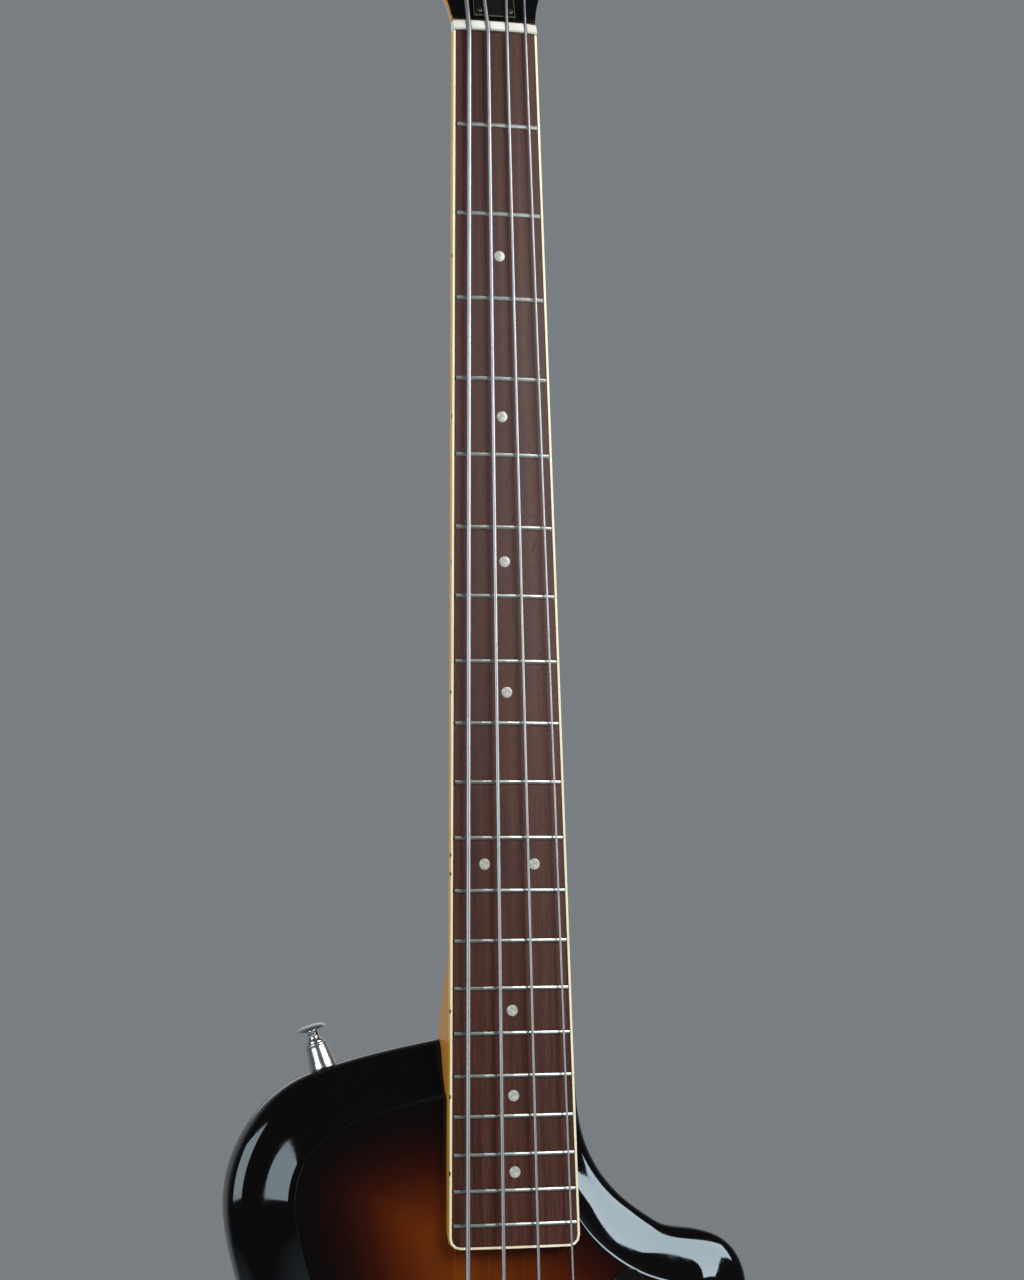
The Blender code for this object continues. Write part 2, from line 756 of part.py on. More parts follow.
def neck_section(distance):
    """Ring of the neck's section: flat glue face, straight sides and round back."""
    half = neck_half_width(distance) - corner_loss(distance, NECK_LENGTH, NECK_CORNER)
    heel = blend(distance, HEEL_START, HEEL_FULL)
    slope = NECK_BACK_AT_NUT + (NECK_BACK_AT_HEEL - NECK_BACK_AT_NUT) * distance / HEEL_START
    back = slope + (HEEL_DEPTH - slope) * heel
    side = NECK_SIDE_FLAT + (HEEL_DEPTH - HEEL_BACK_ROUND - NECK_SIDE_FLAT) * heel**HEEL_SIDE_POWER
    power = 2 / (2 + 2 * heel)
    ring = [(half, NECK_TOP_DEPTH)]
    for index in range(NECK_ARC_POINTS):
        angle = math.pi * index / (NECK_ARC_POINTS - 1)
        x = half * math.copysign(abs(math.cos(angle)) ** power, math.cos(angle))
        ring.append((x, side + (back - side) * math.sin(angle) ** power))
    ring.append((-half, NECK_TOP_DEPTH))
    return [tuple(point(x, distance, depth)) for x, depth in ring]


def neck_root_section():
    """Ring of the neck where it runs into the headstock."""
    half = neck_half_width(0)
    side = NECK_ROOT_TOP + NECK_ROOT_SIDE
    back = NECK_BACK_AT_NUT + NECK_ROOT_SWELL
    ring = [(half, NECK_ROOT_TOP)]
    for index in range(NECK_ARC_POINTS):
        angle = math.pi * index / (NECK_ARC_POINTS - 1)
        ring.append((half * math.cos(angle), side + (back - side) * math.sin(angle)))
    ring.append((-half, NECK_ROOT_TOP))
    return [tuple(point(x, NECK_ROOT_START, depth)) for x, depth in ring]


def make_neck(material):
    """Neck with heel, tilted headstock, rod channel, nut shelf and tuner bores."""
    stations = [NUT_BACK - SEAT_GAP] + [HEEL_START * share for share in NECK_SHARES]
    stations += [HEEL_START + HEEL_BLEND * share for share in HEEL_SHARES]
    stations += [(HEEL_FULL + NECK_LENGTH) / 2]
    stations += corner_stations(NECK_LENGTH, NECK_CORNER)[:-1] + [NECK_LENGTH - END_FACE]
    rings = [neck_root_section()] + [neck_section(distance) for distance in stations]
    neck = place("neck", loft(rings), material)
    outline = mirrored_half(HEAD_HALF_OUTLINE, HEAD_STEPS)
    outline = [Vector((spot.x, max(spot.y, HEAD_START))) for spot in outline]
    levels = (
        (-HEAD_THICKNESS, HEAD_BACK_BEVEL),
        (-HEAD_THICKNESS + HEAD_BACK_BEVEL, 0),
        (-HEAD_FACE_BEVEL, 0),
        (0, HEAD_FACE_BEVEL),
    )
    join(neck, place("headstock_blank", slab(outline, levels), None, head_frame()))
    cut(neck, rod_channel_tool())
    cut(neck, rod_pocket_tool())
    radius = POST_RADIUS + TURNING_GAP
    for name, tuner in TUNERS.items():
        bore = lathe(((radius, -HEAD_THICKNESS - CUTTER_REACH), (radius, CUTTER_REACH)), POST_SIDES)
        frame = head_frame() @ Matrix.Translation((tuner["across"], tuner["up"], 0))
        cut(neck, place("post_bore_" + name, bore, None, frame))
    return neck


def rod_channel_tool():
    """Channel for the truss rod under the fingerboard."""
    half = TRUSS_ROD_RADIUS + SEAT_GAP
    high = TRUSS_ROD_DEPTH + TRUSS_ROD_RADIUS + SEAT_GAP
    corners = ((-half, ROD_CHANNEL_TOP), (half, ROD_CHANNEL_TOP), (half, high), (-half, high))
    rings = []
    for distance in (ROD_CHANNEL_START, TRUSS_ROD_END + SEAT_GAP):
        rings.append([tuple(point(x, distance, depth)) for x, depth in corners])
    return place("rod_channel", loft(rings), None)


def rod_pocket_tool():
    """Pocket in the headstock's face that the rod's adjusting nut is reached through."""
    half = TRUSS_POCKET_WIDTH / 2
    start = HEAD_START + TRUSS_POCKET_LEAD
    outline = rounded_rectangle(half, start, TRUSS_POCKET_LENGTH, TRUSS_POCKET_CORNER)
    floor = -(TRUSS_ROD_DEPTH + TRUSS_NUT_RADIUS - HEAD_FACE_DEPTH)
    tool = slab(outline, ((floor, 0), (CUTTER_REACH, 0)))
    return place("rod_pocket", tool, None, head_frame())


def make_truss_rod(material):
    """Steel rod with its hexagonal adjusting nut at the head end."""
    top = NUT_HEIGHT - TRUSS_NUT_TOP
    length = TRUSS_ROD_END - TRUSS_NUT_TOP
    profile = (
        (TRUSS_ROD_RADIUS, -length),
        (TRUSS_ROD_RADIUS, -TRUSS_NUT_LENGTH),
        (TRUSS_NUT_RADIUS, -TRUSS_NUT_LENGTH),
        (TRUSS_NUT_RADIUS, 0),
    )
    frame = Matrix.Translation((0, depth_to_y(TRUSS_ROD_DEPTH), top))
    return place("truss_rod", lathe(profile, 12), material, frame, 31)


def make_truss_rod_cover(material):
    """Plain bevelled cover over the rod's pocket."""
    outline = mirrored_half(COVER_HALF_OUTLINE, 4)[1:]
    top = SEAT_GAP + COVER_THICKNESS
    levels = ((SEAT_GAP, 0), (top - COVER_BEVEL, 0), (top, COVER_BEVEL))
    return place("truss_rod_cover", slab(outline, levels), material, head_frame())


def make_nut(material):
    """Bone nut with a groove for each string."""
    half = neck_half_width(0)
    rings = []
    for index in range(NUT_STEPS + 1):
        x = -half + 2 * half * index / NUT_STEPS
        edge = NUT_END_ROUND if index in (0, NUT_STEPS) else 0.0
        top = NUT_CROWN_DEPTH + x * x / 2 / BOARD_RADIUS + edge
        corners = (
            (-SEAT_GAP, BOARD_BACK_DEPTH),
            (-SEAT_GAP, top + NUT_EDGE_ROUND),
            (-SEAT_GAP - NUT_EDGE_ROUND, top),
            (NUT_BACK + NUT_EDGE_ROUND, top + NUT_BACK_FALL),
            (NUT_BACK, top + NUT_BACK_FALL + NUT_EDGE_ROUND),
            (NUT_BACK, BOARD_BACK_DEPTH),
        )
        rings.append([tuple(point(x, distance, depth)) for distance, depth in corners])
    nut = place("nut", loft(rings), material)
    for string in STRINGS:
        cut(nut, groove_tool(string, string_route(string)))
    return nut


def groove_tool(string, route):
    """U-shaped space round a string where it crosses the nut."""
    crossing = string_point(string, 0)
    ahead = string_point(string, NUT_GROOVE_REACH / SCALE_LENGTH)
    behind = route[route.index(crossing) + 1]
    behind = crossing + (behind - crossing).normalized() * NUT_GROOVE_REACH
    reach = string["diameter"] / 2 + SEAT_GAP
    rings = []
    for spot in (ahead, crossing, behind):
        ring = []
        for index in range(7):
            angle = math.pi * index / 6
            ring.append((spot.x + reach * math.cos(angle), spot.y + reach * math.sin(angle), spot.z))
        high = spot.y - NUT_GROOVE_HEIGHT
        ring += [(spot.x - reach, high, spot.z), (spot.x + reach, high, spot.z)]
        rings.append(ring)
    return place("nut_groove_" + string["name"], loft(rings), None)


def make_fingerboard(material):
    """Rosewood board with a slot for each fret's tang."""
    rings = []
    stations = [0.0] + corner_stations(BOARD_LENGTH, BOARD_CORNER, 3)[:-1] + [BOARD_LENGTH - END_FACE]
    for distance in stations:
        half = board_half_width(distance) - corner_loss(distance, BOARD_LENGTH, BOARD_CORNER)
        ring = []
        for index in range(BOARD_ARC_POINTS):
            x = half * (2 * index / (BOARD_ARC_POINTS - 1) - 1)
            ring.append(tuple(point(x, distance, board_surface(x))))
        ring.append(tuple(point(half, distance, BOARD_BACK_DEPTH)))
        ring.append(tuple(point(-half, distance, BOARD_BACK_DEPTH)))
        rings.append(ring)
    board = place("fingerboard", loft(rings), material)
    cut(board, place("fret_slots", fret_slot_tool(), None))
    return board


def fret_slot_tool():
    """All the fret slots as one tool of separate blades."""
    blades = bmesh.new()
    half_slot = FRET_TANG_WIDTH / 2 + SEAT_GAP
    floor = FRET_TANG_DEPTH + SEAT_GAP
    for number in range(1, FRET_COUNT + 1):
        middle = fret_distance(number)
        half = board_half_width(middle) + SEAT_GAP
        size = (2 * half, CUTTER_REACH + floor, 2 * half_slot)
        lowest = board_surface(half) + floor
        centre = point(0, middle, lowest - size[1] / 2)
        turn = Matrix.Translation(centre) @ Matrix.Diagonal((*size, 1))
        bmesh.ops.create_cube(blades, size=1, matrix=turn)
    return blades


def make_fret(number, material):
    """One bent fret: a low crown on a tang."""
    distance = fret_distance(number)
    half = board_half_width(distance) - FRET_END_INSET
    crown, tang = FRET_CROWN_WIDTH / 2, FRET_TANG_WIDTH / 2
    section = (
        (-crown, SEAT_GAP),
        (-crown * FRET_SHOULDER_WIDTH, FRET_CROWN_HEIGHT * FRET_SHOULDER_HEIGHT),
        (0, FRET_CROWN_HEIGHT),
        (crown * FRET_SHOULDER_WIDTH, FRET_CROWN_HEIGHT * FRET_SHOULDER_HEIGHT),
        (crown, SEAT_GAP),
        (tang, SEAT_GAP),
        (tang, -FRET_TANG_DEPTH),
        (-tang, -FRET_TANG_DEPTH),
        (-tang, SEAT_GAP),
    )
    rings = []
    for index in range(BOARD_ARC_POINTS):
        x = half * (2 * index / (BOARD_ARC_POINTS - 1) - 1)
        surface = board_surface(x)
        ring = [point(x, distance + along, surface - height) for along, height in section]
        rings.append([tuple(spot) for spot in ring])
    return place(f"fret_{number:02d}", loft(rings), material)


def make_binding(material):
    """One strip round both sides and the end of the fingerboard."""
    inner_gap, outer_gap = SEAT_GAP, SEAT_GAP + BINDING_THICKNESS
    side = []
    for distance in [0.0, BINDING_MIDDLE] + corner_stations(BOARD_LENGTH, BOARD_CORNER, 3):
        into = max(distance - (BOARD_LENGTH - BOARD_CORNER), 0.0) / BOARD_CORNER
        turn = math.asin(min(into, 1.0))
        half = board_half_width(distance) - corner_loss(distance, BOARD_LENGTH, BOARD_CORNER)
        pair = []
        for gap in (inner_gap, outer_gap):
            pair.append((half + gap * math.cos(turn), distance + gap * math.sin(turn)))
        side.append(pair)
    across = []
    for x in BINDING_END_PLACES:
        across.append([(x, BOARD_LENGTH + inner_gap), (x, BOARD_LENGTH + outer_gap)])
    treble = side + across
    bass = [[(-x, distance) for x, distance in pair] for pair in reversed(treble[:-1])]
    rings = []
    for (inner_x, inner_along), (outer_x, outer_along) in treble + bass:
        top = board_surface(inner_x)
        rings.append(
            [
                tuple(point(inner_x, inner_along, top)),
                tuple(point(outer_x, outer_along, top)),
                tuple(point(outer_x, outer_along, BOARD_BACK_DEPTH)),
                tuple(point(inner_x, inner_along, BOARD_BACK_DEPTH)),
            ]
        )
    return place("board_binding", loft(rings), material)


def string_route(string):
    """Points of a string from its ball end, over saddle and nut, to the end of its turns.

    It bends behind the rearmost place of the saddle, which slides under it.
    """
    bend = string_point(string, 1 + (SADDLE_TRAVEL + SADDLE_RADIUS) / SCALE_LENGTH)
    nut = string_point(string, 0)
    behind = BRIDGE_BACK + SEAT_GAP
    places = (behind + BALL_END_LENGTH, behind, behind - BALL_END_SHOULDER)
    ball = [point(string_point(string, 1).x, distance, BALL_HOLE_DEPTH) for distance in places]
    return ball + [bend, nut] + winding_points(string)


def make_string(string, material):
    """Steel string as one tube, thicker at its ball end."""
    route = string_route(string)
    curve = bpy.data.curves.new("string_" + string["name"], "CURVE")
    curve.dimensions = "3D"
    curve.bevel_depth = string["diameter"] / 2
    curve.bevel_resolution = 1
    curve.use_fill_caps = True
    spline = curve.splines.new("POLY")
    spline.points.add(len(route) - 1)
    for index, (spot, place_on) in enumerate(zip(spline.points, route)):
        spot.co = (*place_on, 1)
        spot.radius = BALL_END_DIAMETER / string["diameter"] if index < 2 else 1.0
    curve.materials.append(material)
    item = bpy.data.objects.new(curve.name, curve)
    bpy.context.scene.collection.objects.link(item)
    gap = least_turn_gap(string, winding_points(string))
    print(f"{item.name}: least gap between turns {gap * 1000:.2f} mm")
    return item


def wheel_solid():
    """Toothed wheel whose slanted teeth fit the worm's thread, about local Z."""
    slant = WORM_PITCH / (2 * math.pi * WORM_RADIUS) / WHEEL_RADIUS
    rings = []
    for side in (-1, 1):
        offset = side * WHEEL_THICKNESS / 2
        ring = []
        for number in range(WHEEL_TEETH):
            for share, radius in WHEEL_TOOTH:
                angle = 2 * math.pi * (number + share) / WHEEL_TEETH - math.pi / 2 + slant * offset
                ring.append((radius * math.cos(angle), radius * math.sin(angle), WHEEL_MIDDLE + offset))
        rings.append(ring)
    return loft(rings)


def make_post(name, tuner, material):
    """String post with its wheel, turned about the post's own axis."""
    profile = (
        (WHEEL_COLLAR_RADIUS, WHEEL_MIDDLE),
        (WHEEL_COLLAR_RADIUS, PLATE_BACK - SEAT_GAP),
        (POST_RADIUS, PLATE_BACK - SEAT_GAP),
        (POST_RADIUS, POST_WAIST_LOW),
        (POST_WAIST_RADIUS, POST_WAIST_LOW + POST_WAIST_SLOPE),
        (POST_WAIST_RADIUS, POST_WAIST_HIGH - POST_WAIST_SLOPE),
        (POST_RADIUS, POST_WAIST_HIGH),
        (POST_RADIUS, POST_HEIGHT - POST_EDGE),
        (POST_RADIUS - POST_EDGE, POST_HEIGHT),
    )
    frame = head_frame() @ Matrix.Translation((tuner["across"], tuner["up"], 0))
    post = place("tuner_post_" + name, lathe(profile, POST_SIDES), material, frame)
    join(post, place("wheel_blank_" + name, wheel_solid(), None, frame))
    reach = POST_RADIUS + CUTTER_REACH
    slot = rounded_rectangle(POST_SLOT_WIDTH / 2, -reach, reach, POST_SLOT_CORNER, 1)
    levels = ((POST_HEIGHT - POST_SLOT_DEPTH, 0), (POST_HEIGHT + CUTTER_REACH, 0))
    cut(post, place("post_slot_" + name, slab(slot, levels), None, frame))
    return post


def make_tuner_plate(name, tuner, material):
    """Back plate with two bored lugs that carry the worm."""
    frame = head_frame() @ Matrix.Translation((tuner["across"], tuner["up"], 0))
    outline = rounded_rectangle(PLATE_HALF_WIDTH, PLATE_BOTTOM, PLATE_TOP, PLATE_CORNER)
    sheet = slab(outline, ((PLATE_BACK, 0), (PLATE_FRONT, 0)))
    plate = place("tuner_plate_" + name, sheet, material, frame)
    radius = POST_RADIUS + TURNING_GAP
    low, high = PLATE_BACK - CUTTER_REACH, PLATE_FRONT + CUTTER_REACH
    bore = lathe(((radius, low), (radius, high)), POST_SIDES)
    cut(plate, place("plate_bore_" + name, bore, None, frame))
    lug_outline = rounded_rectangle(LUG_HALF_WIDTH, -WORM_TIP_RADIUS, LUG_TOP, LUG_CORNER, 1)
    levels = ((LUG_INSIDE, 0), (LUG_INSIDE + LUG_THICKNESS, 0))
    for side in (-1, 1):
        middle = frame @ Vector((0, -WORM_DISTANCE, WHEEL_MIDDLE))
        direction = frame.to_3x3() @ Vector((side, 0, 0))
        lug_frame = frame_along(middle, direction, frame.to_3x3() @ Vector((0, 1, 0)))
        flat = Matrix.Rotation(0 if side > 0 else math.pi, 4, "Z")
        join(plate, place(f"lug_{name}_{side}", slab(lug_outline, levels), None, lug_frame @ flat))
    radius = KEY_SHAFT_RADIUS + TURNING_GAP
    reach = LUG_INSIDE + LUG_THICKNESS + CUTTER_REACH
    hole = lathe(((radius, -reach), (radius, reach)), WORM_SIDES)
    cut(plate, place("lug_bore_" + name, hole, None, worm_frame(tuner)))
    return plate


def worm_frame(tuner):
    """Matrix of a worm: local Z out along its key, local X towards the wheel."""
    head = head_frame() @ Matrix.Translation((tuner["across"], tuner["up"], 0))
    side = tuner["side"]
    turn = Matrix(((0, 0, side), (1, 0, 0), (0, side, 0))).to_4x4()
    return head @ Matrix.Translation((0, -WORM_DISTANCE, WHEEL_MIDDLE)) @ turn


def worm_radius(along, angle):
    """Radius of the worm's thread at a place along and round it."""
    phase = (along / WORM_PITCH - angle / (2 * math.pi) + 0.5) % 1 - 0.5
    ridge = max(1 - (abs(phase) / WORM_THREAD_SHARE) ** 2, 0.0)
    run_out = min(max((WORM_LENGTH / 2 - abs(along)) / (WORM_PITCH / 2), 0.0), 1.0)
    return WORM_CORE_RADIUS + (WORM_TIP_RADIUS - WORM_CORE_RADIUS) * ridge * run_out


def make_tuner_key(name, tuner, material):
    """Worm, shaft and lobed key in one piece."""
    step = WORM_PITCH / WORM_STEPS_PER_PITCH
    count = int(WORM_LENGTH / step / 2)
    thread = [step * index for index in range(-count, count + 1)]
    shoulder = WORM_LENGTH / 2 + WORM_SHOULDER
    collar_end = KEY_NECK + KEY_COLLAR_LENGTH
    stations = [(KEY_INNER_END, KEY_SHAFT_RADIUS), (-shoulder, KEY_SHAFT_RADIUS)]
    stations += [(along, None) for along in thread]
    stations += [
        (shoulder, KEY_SHAFT_RADIUS),
        (KEY_NECK - KEY_COLLAR_SLOPE, KEY_SHAFT_RADIUS),
        (KEY_NECK, KEY_COLLAR_RADIUS),
        (collar_end, KEY_COLLAR_RADIUS),
        (collar_end + KEY_COLLAR_LENGTH, KEY_SHAFT_RADIUS),
        (KEY_CENTRE, KEY_TIP_RADIUS),
    ]
    rings = []
    for along, fixed in stations:
        ring = []
        for index in range(WORM_SIDES):
            angle = 2 * math.pi * index / WORM_SIDES
            radius = fixed or worm_radius(along, angle)
            ring.append((radius * math.cos(angle), radius * math.sin(angle), along))
        rings.append(ring)
    frame = worm_frame(tuner)
    key = place("tuner_key_" + name, loft(rings), material, frame)
    outline = []
    for index in range(KEY_POINTS):
        angle = 2 * math.pi * index / KEY_POINTS
        radius = KEY_RADIUS * (1 + KEY_LOBE * math.cos(3 * angle))
        outline.append(Vector((radius * math.sin(angle), radius * math.cos(angle))))
    outline.reverse()
    half = KEY_THICKNESS / 2
    levels = (
        (-half, KEY_EDGE_INSET),
        (-half + KEY_EDGE, 0),
        (half - KEY_EDGE, 0),
        (half, KEY_EDGE_INSET),
    )
    turn = Matrix(((1, 0, 0), (0, 0, -1), (0, 1, 0))).to_4x4()
    blade_frame = frame @ Matrix.Translation((0, 0, KEY_CENTRE)) @ turn
    join(key, place("key_blade_" + name, slab(outline, levels), None, blade_frame))
    return key


def make_bridge_plate(material):
    """Bent steel bridge with its rear wall bored for strings and screws."""
    outline = rounded_rectangle(BRIDGE_HALF_WIDTH, -BRIDGE_BACK, -BRIDGE_FRONT, BRIDGE_CORNER)
    frame = front_frame(SADDLE_STRING_CENTRE, 0, 0)
    levels = ((-BRIDGE_TOP_DEPTH - BRIDGE_THICKNESS, 0), (-BRIDGE_TOP_DEPTH, 0))
    bridge = place("bridge_plate", slab(outline, levels), material, frame)
    under = BRIDGE_TOP_DEPTH + BRIDGE_THICKNESS
    half = (under - BRIDGE_WALL_DEPTH) / 2
    width = BRIDGE_HALF_WIDTH - BRIDGE_WALL_INSET
    wall_outline = rounded_rectangle(width, -half, half, BRIDGE_WALL_CORNER, 2)
    wall = slab(wall_outline, ((0, 0), (BRIDGE_THICKNESS, 0)))
    middle = point(SADDLE_STRING_CENTRE, BRIDGE_BACK, under - half)
    join(bridge, place("bridge_wall", wall, None, frame_along(middle, UP, (1, 0, 0))))
    for string in STRINGS:
        across = string_point(string, 1).x
        for kind, radius, depth in (
            ("ball_hole_", BALL_HOLE_RADIUS, BALL_HOLE_DEPTH),
            ("screw_hole_", INTONATION_HOLE_RADIUS, INTONATION_HOLE_DEPTH),
        ):
            hole = lathe(((radius, -CUTTER_REACH), (radius, BRIDGE_THICKNESS + CUTTER_REACH)), 8)
            spot = point(across, BRIDGE_BACK, depth)
            cut(bridge, place(kind + string["name"], hole, None, Matrix.Translation(spot)))
    return bridge


def make_saddle(string, material):
    """Barrel saddle with a string groove and two height screws."""
    top = string_point(string, 1)
    middle = top + Vector((0, string["diameter"] / 2 + SEAT_GAP - SADDLE_GROOVE + SADDLE_RADIUS, 0))
    frame = Matrix.Translation(middle)
    half = SADDLE_LENGTH / 2
    profile = (
        (SADDLE_RADIUS - SADDLE_EDGE, -half),
        (SADDLE_RADIUS, -half + SADDLE_EDGE),
        (SADDLE_RADIUS, half - SADDLE_EDGE),
        (SADDLE_RADIUS - SADDLE_EDGE, half),
    )
    across = Matrix.Rotation(math.pi / 2, 4, "Y")
    saddle = place("saddle_" + string["name"], lathe(profile, 12), material, frame @ across)
    plate_top = depth_to_y(BRIDGE_TOP_DEPTH) - SEAT_GAP
    for side in (-1, 1):
        ends = ((GRUB_RADIUS, middle.y - plate_top), (GRUB_RADIUS, SADDLE_RADIUS + GRUB_PROUD))
        screw = lathe(ends, 6)
        screw_frame = frame_along(middle + Vector((side * GRUB_OFFSET, 0, 0)), FRONT, (1, 0, 0))
        join(saddle, place(f"grub_{string['name']}_{side}", screw, None, screw_frame))
    reach = string["diameter"] / 2 + SEAT_GAP
    length = SADDLE_RADIUS + CUTTER_REACH
    groove = lathe(((reach, -length), (reach, length)), 8)
    cut(saddle, place("saddle_groove_" + string["name"], groove, None, Matrix.Translation(top)))
    hole = lathe(((SADDLE_SCREW_RADIUS, -length), (SADDLE_SCREW_RADIUS, length)), 8)
    spot = middle + Vector((0, SADDLE_SCREW_DEPTH, 0))
    cut(saddle, place("saddle_bore_" + string["name"], hole, None, Matrix.Translation(spot)))
    return saddle


def pickup_across(pickup):
    """Middle of the two strings over a pickup half."""
    share = pickup["distance"] / SCALE_LENGTH
    return sum(string_point(STRINGS[index], share).x for index in pickup["strings"]) / 2


def make_pickup(pickup, material):
    """Covered half of the split pickup, with two round poles by each string."""
    across = pickup_across(pickup)
    frame = front_frame(across, pickup["distance"], 0)
    half = PICKUP_LENGTH / 2
    outline = rounded_rectangle(PICKUP_WIDTH / 2, -half, half, PICKUP_CORNER)
    levels = (
        (-PICKUP_BOTTOM_DEPTH, 0),
        (-PICKUP_TOP_DEPTH - PICKUP_EDGE, 0),
        (-PICKUP_TOP_DEPTH, PICKUP_EDGE),
    )
    item = place(pickup["name"], slab(outline, levels), material, frame)
    share = pickup["distance"] / SCALE_LENGTH
    for index in pickup["strings"]:
        for side in (-1, 1):
            offset = string_point(STRINGS[index], share).x - across + side * PICKUP_POLE_SPREAD
            top = -PICKUP_TOP_DEPTH + PICKUP_POLE_HEIGHT
            pole = lathe(((PICKUP_POLE_RADIUS, top - CUTTER_REACH), (PICKUP_POLE_RADIUS, top)), 8)
            spot = frame @ Matrix.Translation((offset, 0, 0))
            join(item, place(f"pole_{index}_{side}", pole, None, spot))
    return item


def make_pickguard(material):
    """Bevelled guard with openings for the pickup, the pots and the jack."""
    outline = smooth_loop(upright(GUARD_EDGE), GUARD_STEPS)
    origin = Matrix.Translation((0, depth_to_y(0), 0))
    turn = Matrix(((1, 0, 0), (0, 0, -1), (0, 1, 0))).to_4x4()
    bottom = -(TOP_DEPTH - SEAT_GAP)
    levels = ((bottom, 0), (-GUARD_TOP_DEPTH - GUARD_BEVEL, 0), (-GUARD_TOP_DEPTH, GUARD_BEVEL))
    guard = place("pickguard", slab(outline, levels), material, origin @ turn)
    for pickup in PICKUPS:
        half = PICKUP_LENGTH / 2 + PICKUP_FIT
        hole = rounded_rectangle(PICKUP_WIDTH / 2 + PICKUP_FIT, -half, half, PICKUP_CORNER)
        frame = front_frame(pickup_across(pickup), pickup["distance"], 0)
        tool = slab(hole, ((bottom - CUTTER_REACH, 0), (CUTTER_REACH, 0)))
        cut(guard, place(pickup["name"] + "_opening", tool, None, frame))
    for control in CONTROLS:
        radius = POT_BUSH_RADIUS + SEAT_GAP
        tool = lathe(((radius, bottom - CUTTER_REACH), (radius, CUTTER_REACH)), 16)
        frame = front_frame(control["across"], control["distance"], 0)
        cut(guard, place(control["name"] + "_hole", tool, None, frame))
    radius = JACK_BARREL_RADIUS + SEAT_GAP
    tool = lathe(((radius, bottom - CUTTER_REACH), (radius, CUTTER_REACH)), 16)
    cut(guard, place("jack_hole", tool, None, front_frame(JACK["across"], JACK["distance"], 0)))
    return guard


def make_pot(control, material):
    """Potentiometer hung under the guard by its threaded bush and nut."""
    guard_back = -(TOP_DEPTH - SEAT_GAP)
    nut_low = -GUARD_TOP_DEPTH + SEAT_GAP
    nut_top = nut_low + POT_NUT_HEIGHT
    bore = KNOB_SHAFT_RADIUS + TURNING_GAP
    can_top = guard_back - SEAT_GAP
    profile = (
        (POT_RADIUS - POT_EDGE, can_top - POT_DEPTH),
        (POT_RADIUS, can_top - POT_DEPTH + POT_EDGE),
        (POT_RADIUS, can_top),
        (POT_BUSH_RADIUS, can_top),
        (POT_BUSH_RADIUS, nut_low),
        (POT_NUT_RADIUS, nut_low),
        (POT_NUT_RADIUS, nut_top),
        (bore, nut_top),
        (bore, nut_top - POT_BORE_DEPTH),
    )
    frame = front_frame(control["across"], control["distance"], 0)
    return place(control["name"] + "_pot", lathe(profile, 14), material, frame)


def make_knob(control, material):
    """Knob and the pot's shaft, turned about the pot's axis."""
    nut_top = -GUARD_TOP_DEPTH + SEAT_GAP + POT_NUT_HEIGHT
    low = nut_top + KNOB_CLEARANCE
    skirt = low + KNOB_SKIRT_HEIGHT
    top = low + KNOB_HEIGHT
    upper = KNOB_RADIUS - 2 * KNOB_SKIRT_STEP
    profile = (
        (KNOB_SHAFT_RADIUS, nut_top - POT_BORE_DEPTH + SEAT_GAP),
        (KNOB_SHAFT_RADIUS, low),
        (KNOB_RADIUS, low),
        (KNOB_RADIUS, skirt),
        (KNOB_RADIUS - KNOB_SKIRT_STEP, skirt + KNOB_SKIRT_STEP),
        (upper, top - KNOB_TOP_EDGE),
        (upper - KNOB_TOP_EDGE, top),
    )
    frame = front_frame(control["across"], control["distance"], 0)
    return place(control["name"] + "_knob", lathe(profile, 18), material, frame)


def make_jack(material):
    """Output socket: bored barrel, nut on the guard, open at its inner end."""
    flange_top = -TOP_DEPTH
    flange_low = flange_top - JACK_FLANGE_HEIGHT
    nut_low = -GUARD_TOP_DEPTH + SEAT_GAP
    nut_top = nut_low + JACK_NUT_HEIGHT
    profile = (
        (JACK_BORE_RADIUS, nut_top - JACK_LENGTH),
        (JACK_BARREL_RADIUS, nut_top - JACK_LENGTH),
        (JACK_BARREL_RADIUS, flange_low),
        (JACK_NUT_RADIUS, flange_low),
        (JACK_NUT_RADIUS, flange_top),
        (JACK_BARREL_RADIUS, flange_top),
        (JACK_BARREL_RADIUS, nut_low),
        (JACK_NUT_RADIUS, nut_low),
        (JACK_NUT_RADIUS, nut_top),
        (JACK_BORE_RADIUS, nut_top),
    )
    solid = tube_lathe(profile, 12)
    return place("output_jack", solid, material, front_frame(JACK["across"], JACK["distance"], 0))


def tube_lathe(profile, sides):
    """Turned solid with a bore right through: the profile closes on itself."""
    solid = bmesh.new()
    loops = []
    for radius, height in profile:
        loop = []
        for index in range(sides):
            angle = 2 * math.pi * index / sides
            spot = (radius * math.cos(angle), radius * math.sin(angle), height)
            loop.append(solid.verts.new(spot))
        loops.append(loop)
    for low, high in zip(loops, loops[1:] + loops[:1]):
        for index in range(sides):
            after = (index + 1) % sides
            solid.faces.new((low[index], low[after], high[after], high[index]))
    return solid


def button_profile():
    """Radius and height of a strap button from its foot to its flat end."""
    return (
        (BUTTON_FOOT_RADIUS, 0),
        (BUTTON_FOOT_RADIUS, 0.0007),
        (BUTTON_NECK_RADIUS + 0.0006, 0.0014),
        (BUTTON_NECK_RADIUS, 0.0030),
        (BUTTON_NECK_RADIUS + 0.0004, 0.0052),
        (BUTTON_HEAD_RADIUS - 0.0012, 0.0064),
        (BUTTON_HEAD_RADIUS, 0.0069),
        (BUTTON_HEAD_RADIUS, 0.0073),
        (BUTTON_HEAD_RADIUS - 0.0010, 0.0082),
        (BUTTON_END_RADIUS, BUTTON_HEIGHT),
    )


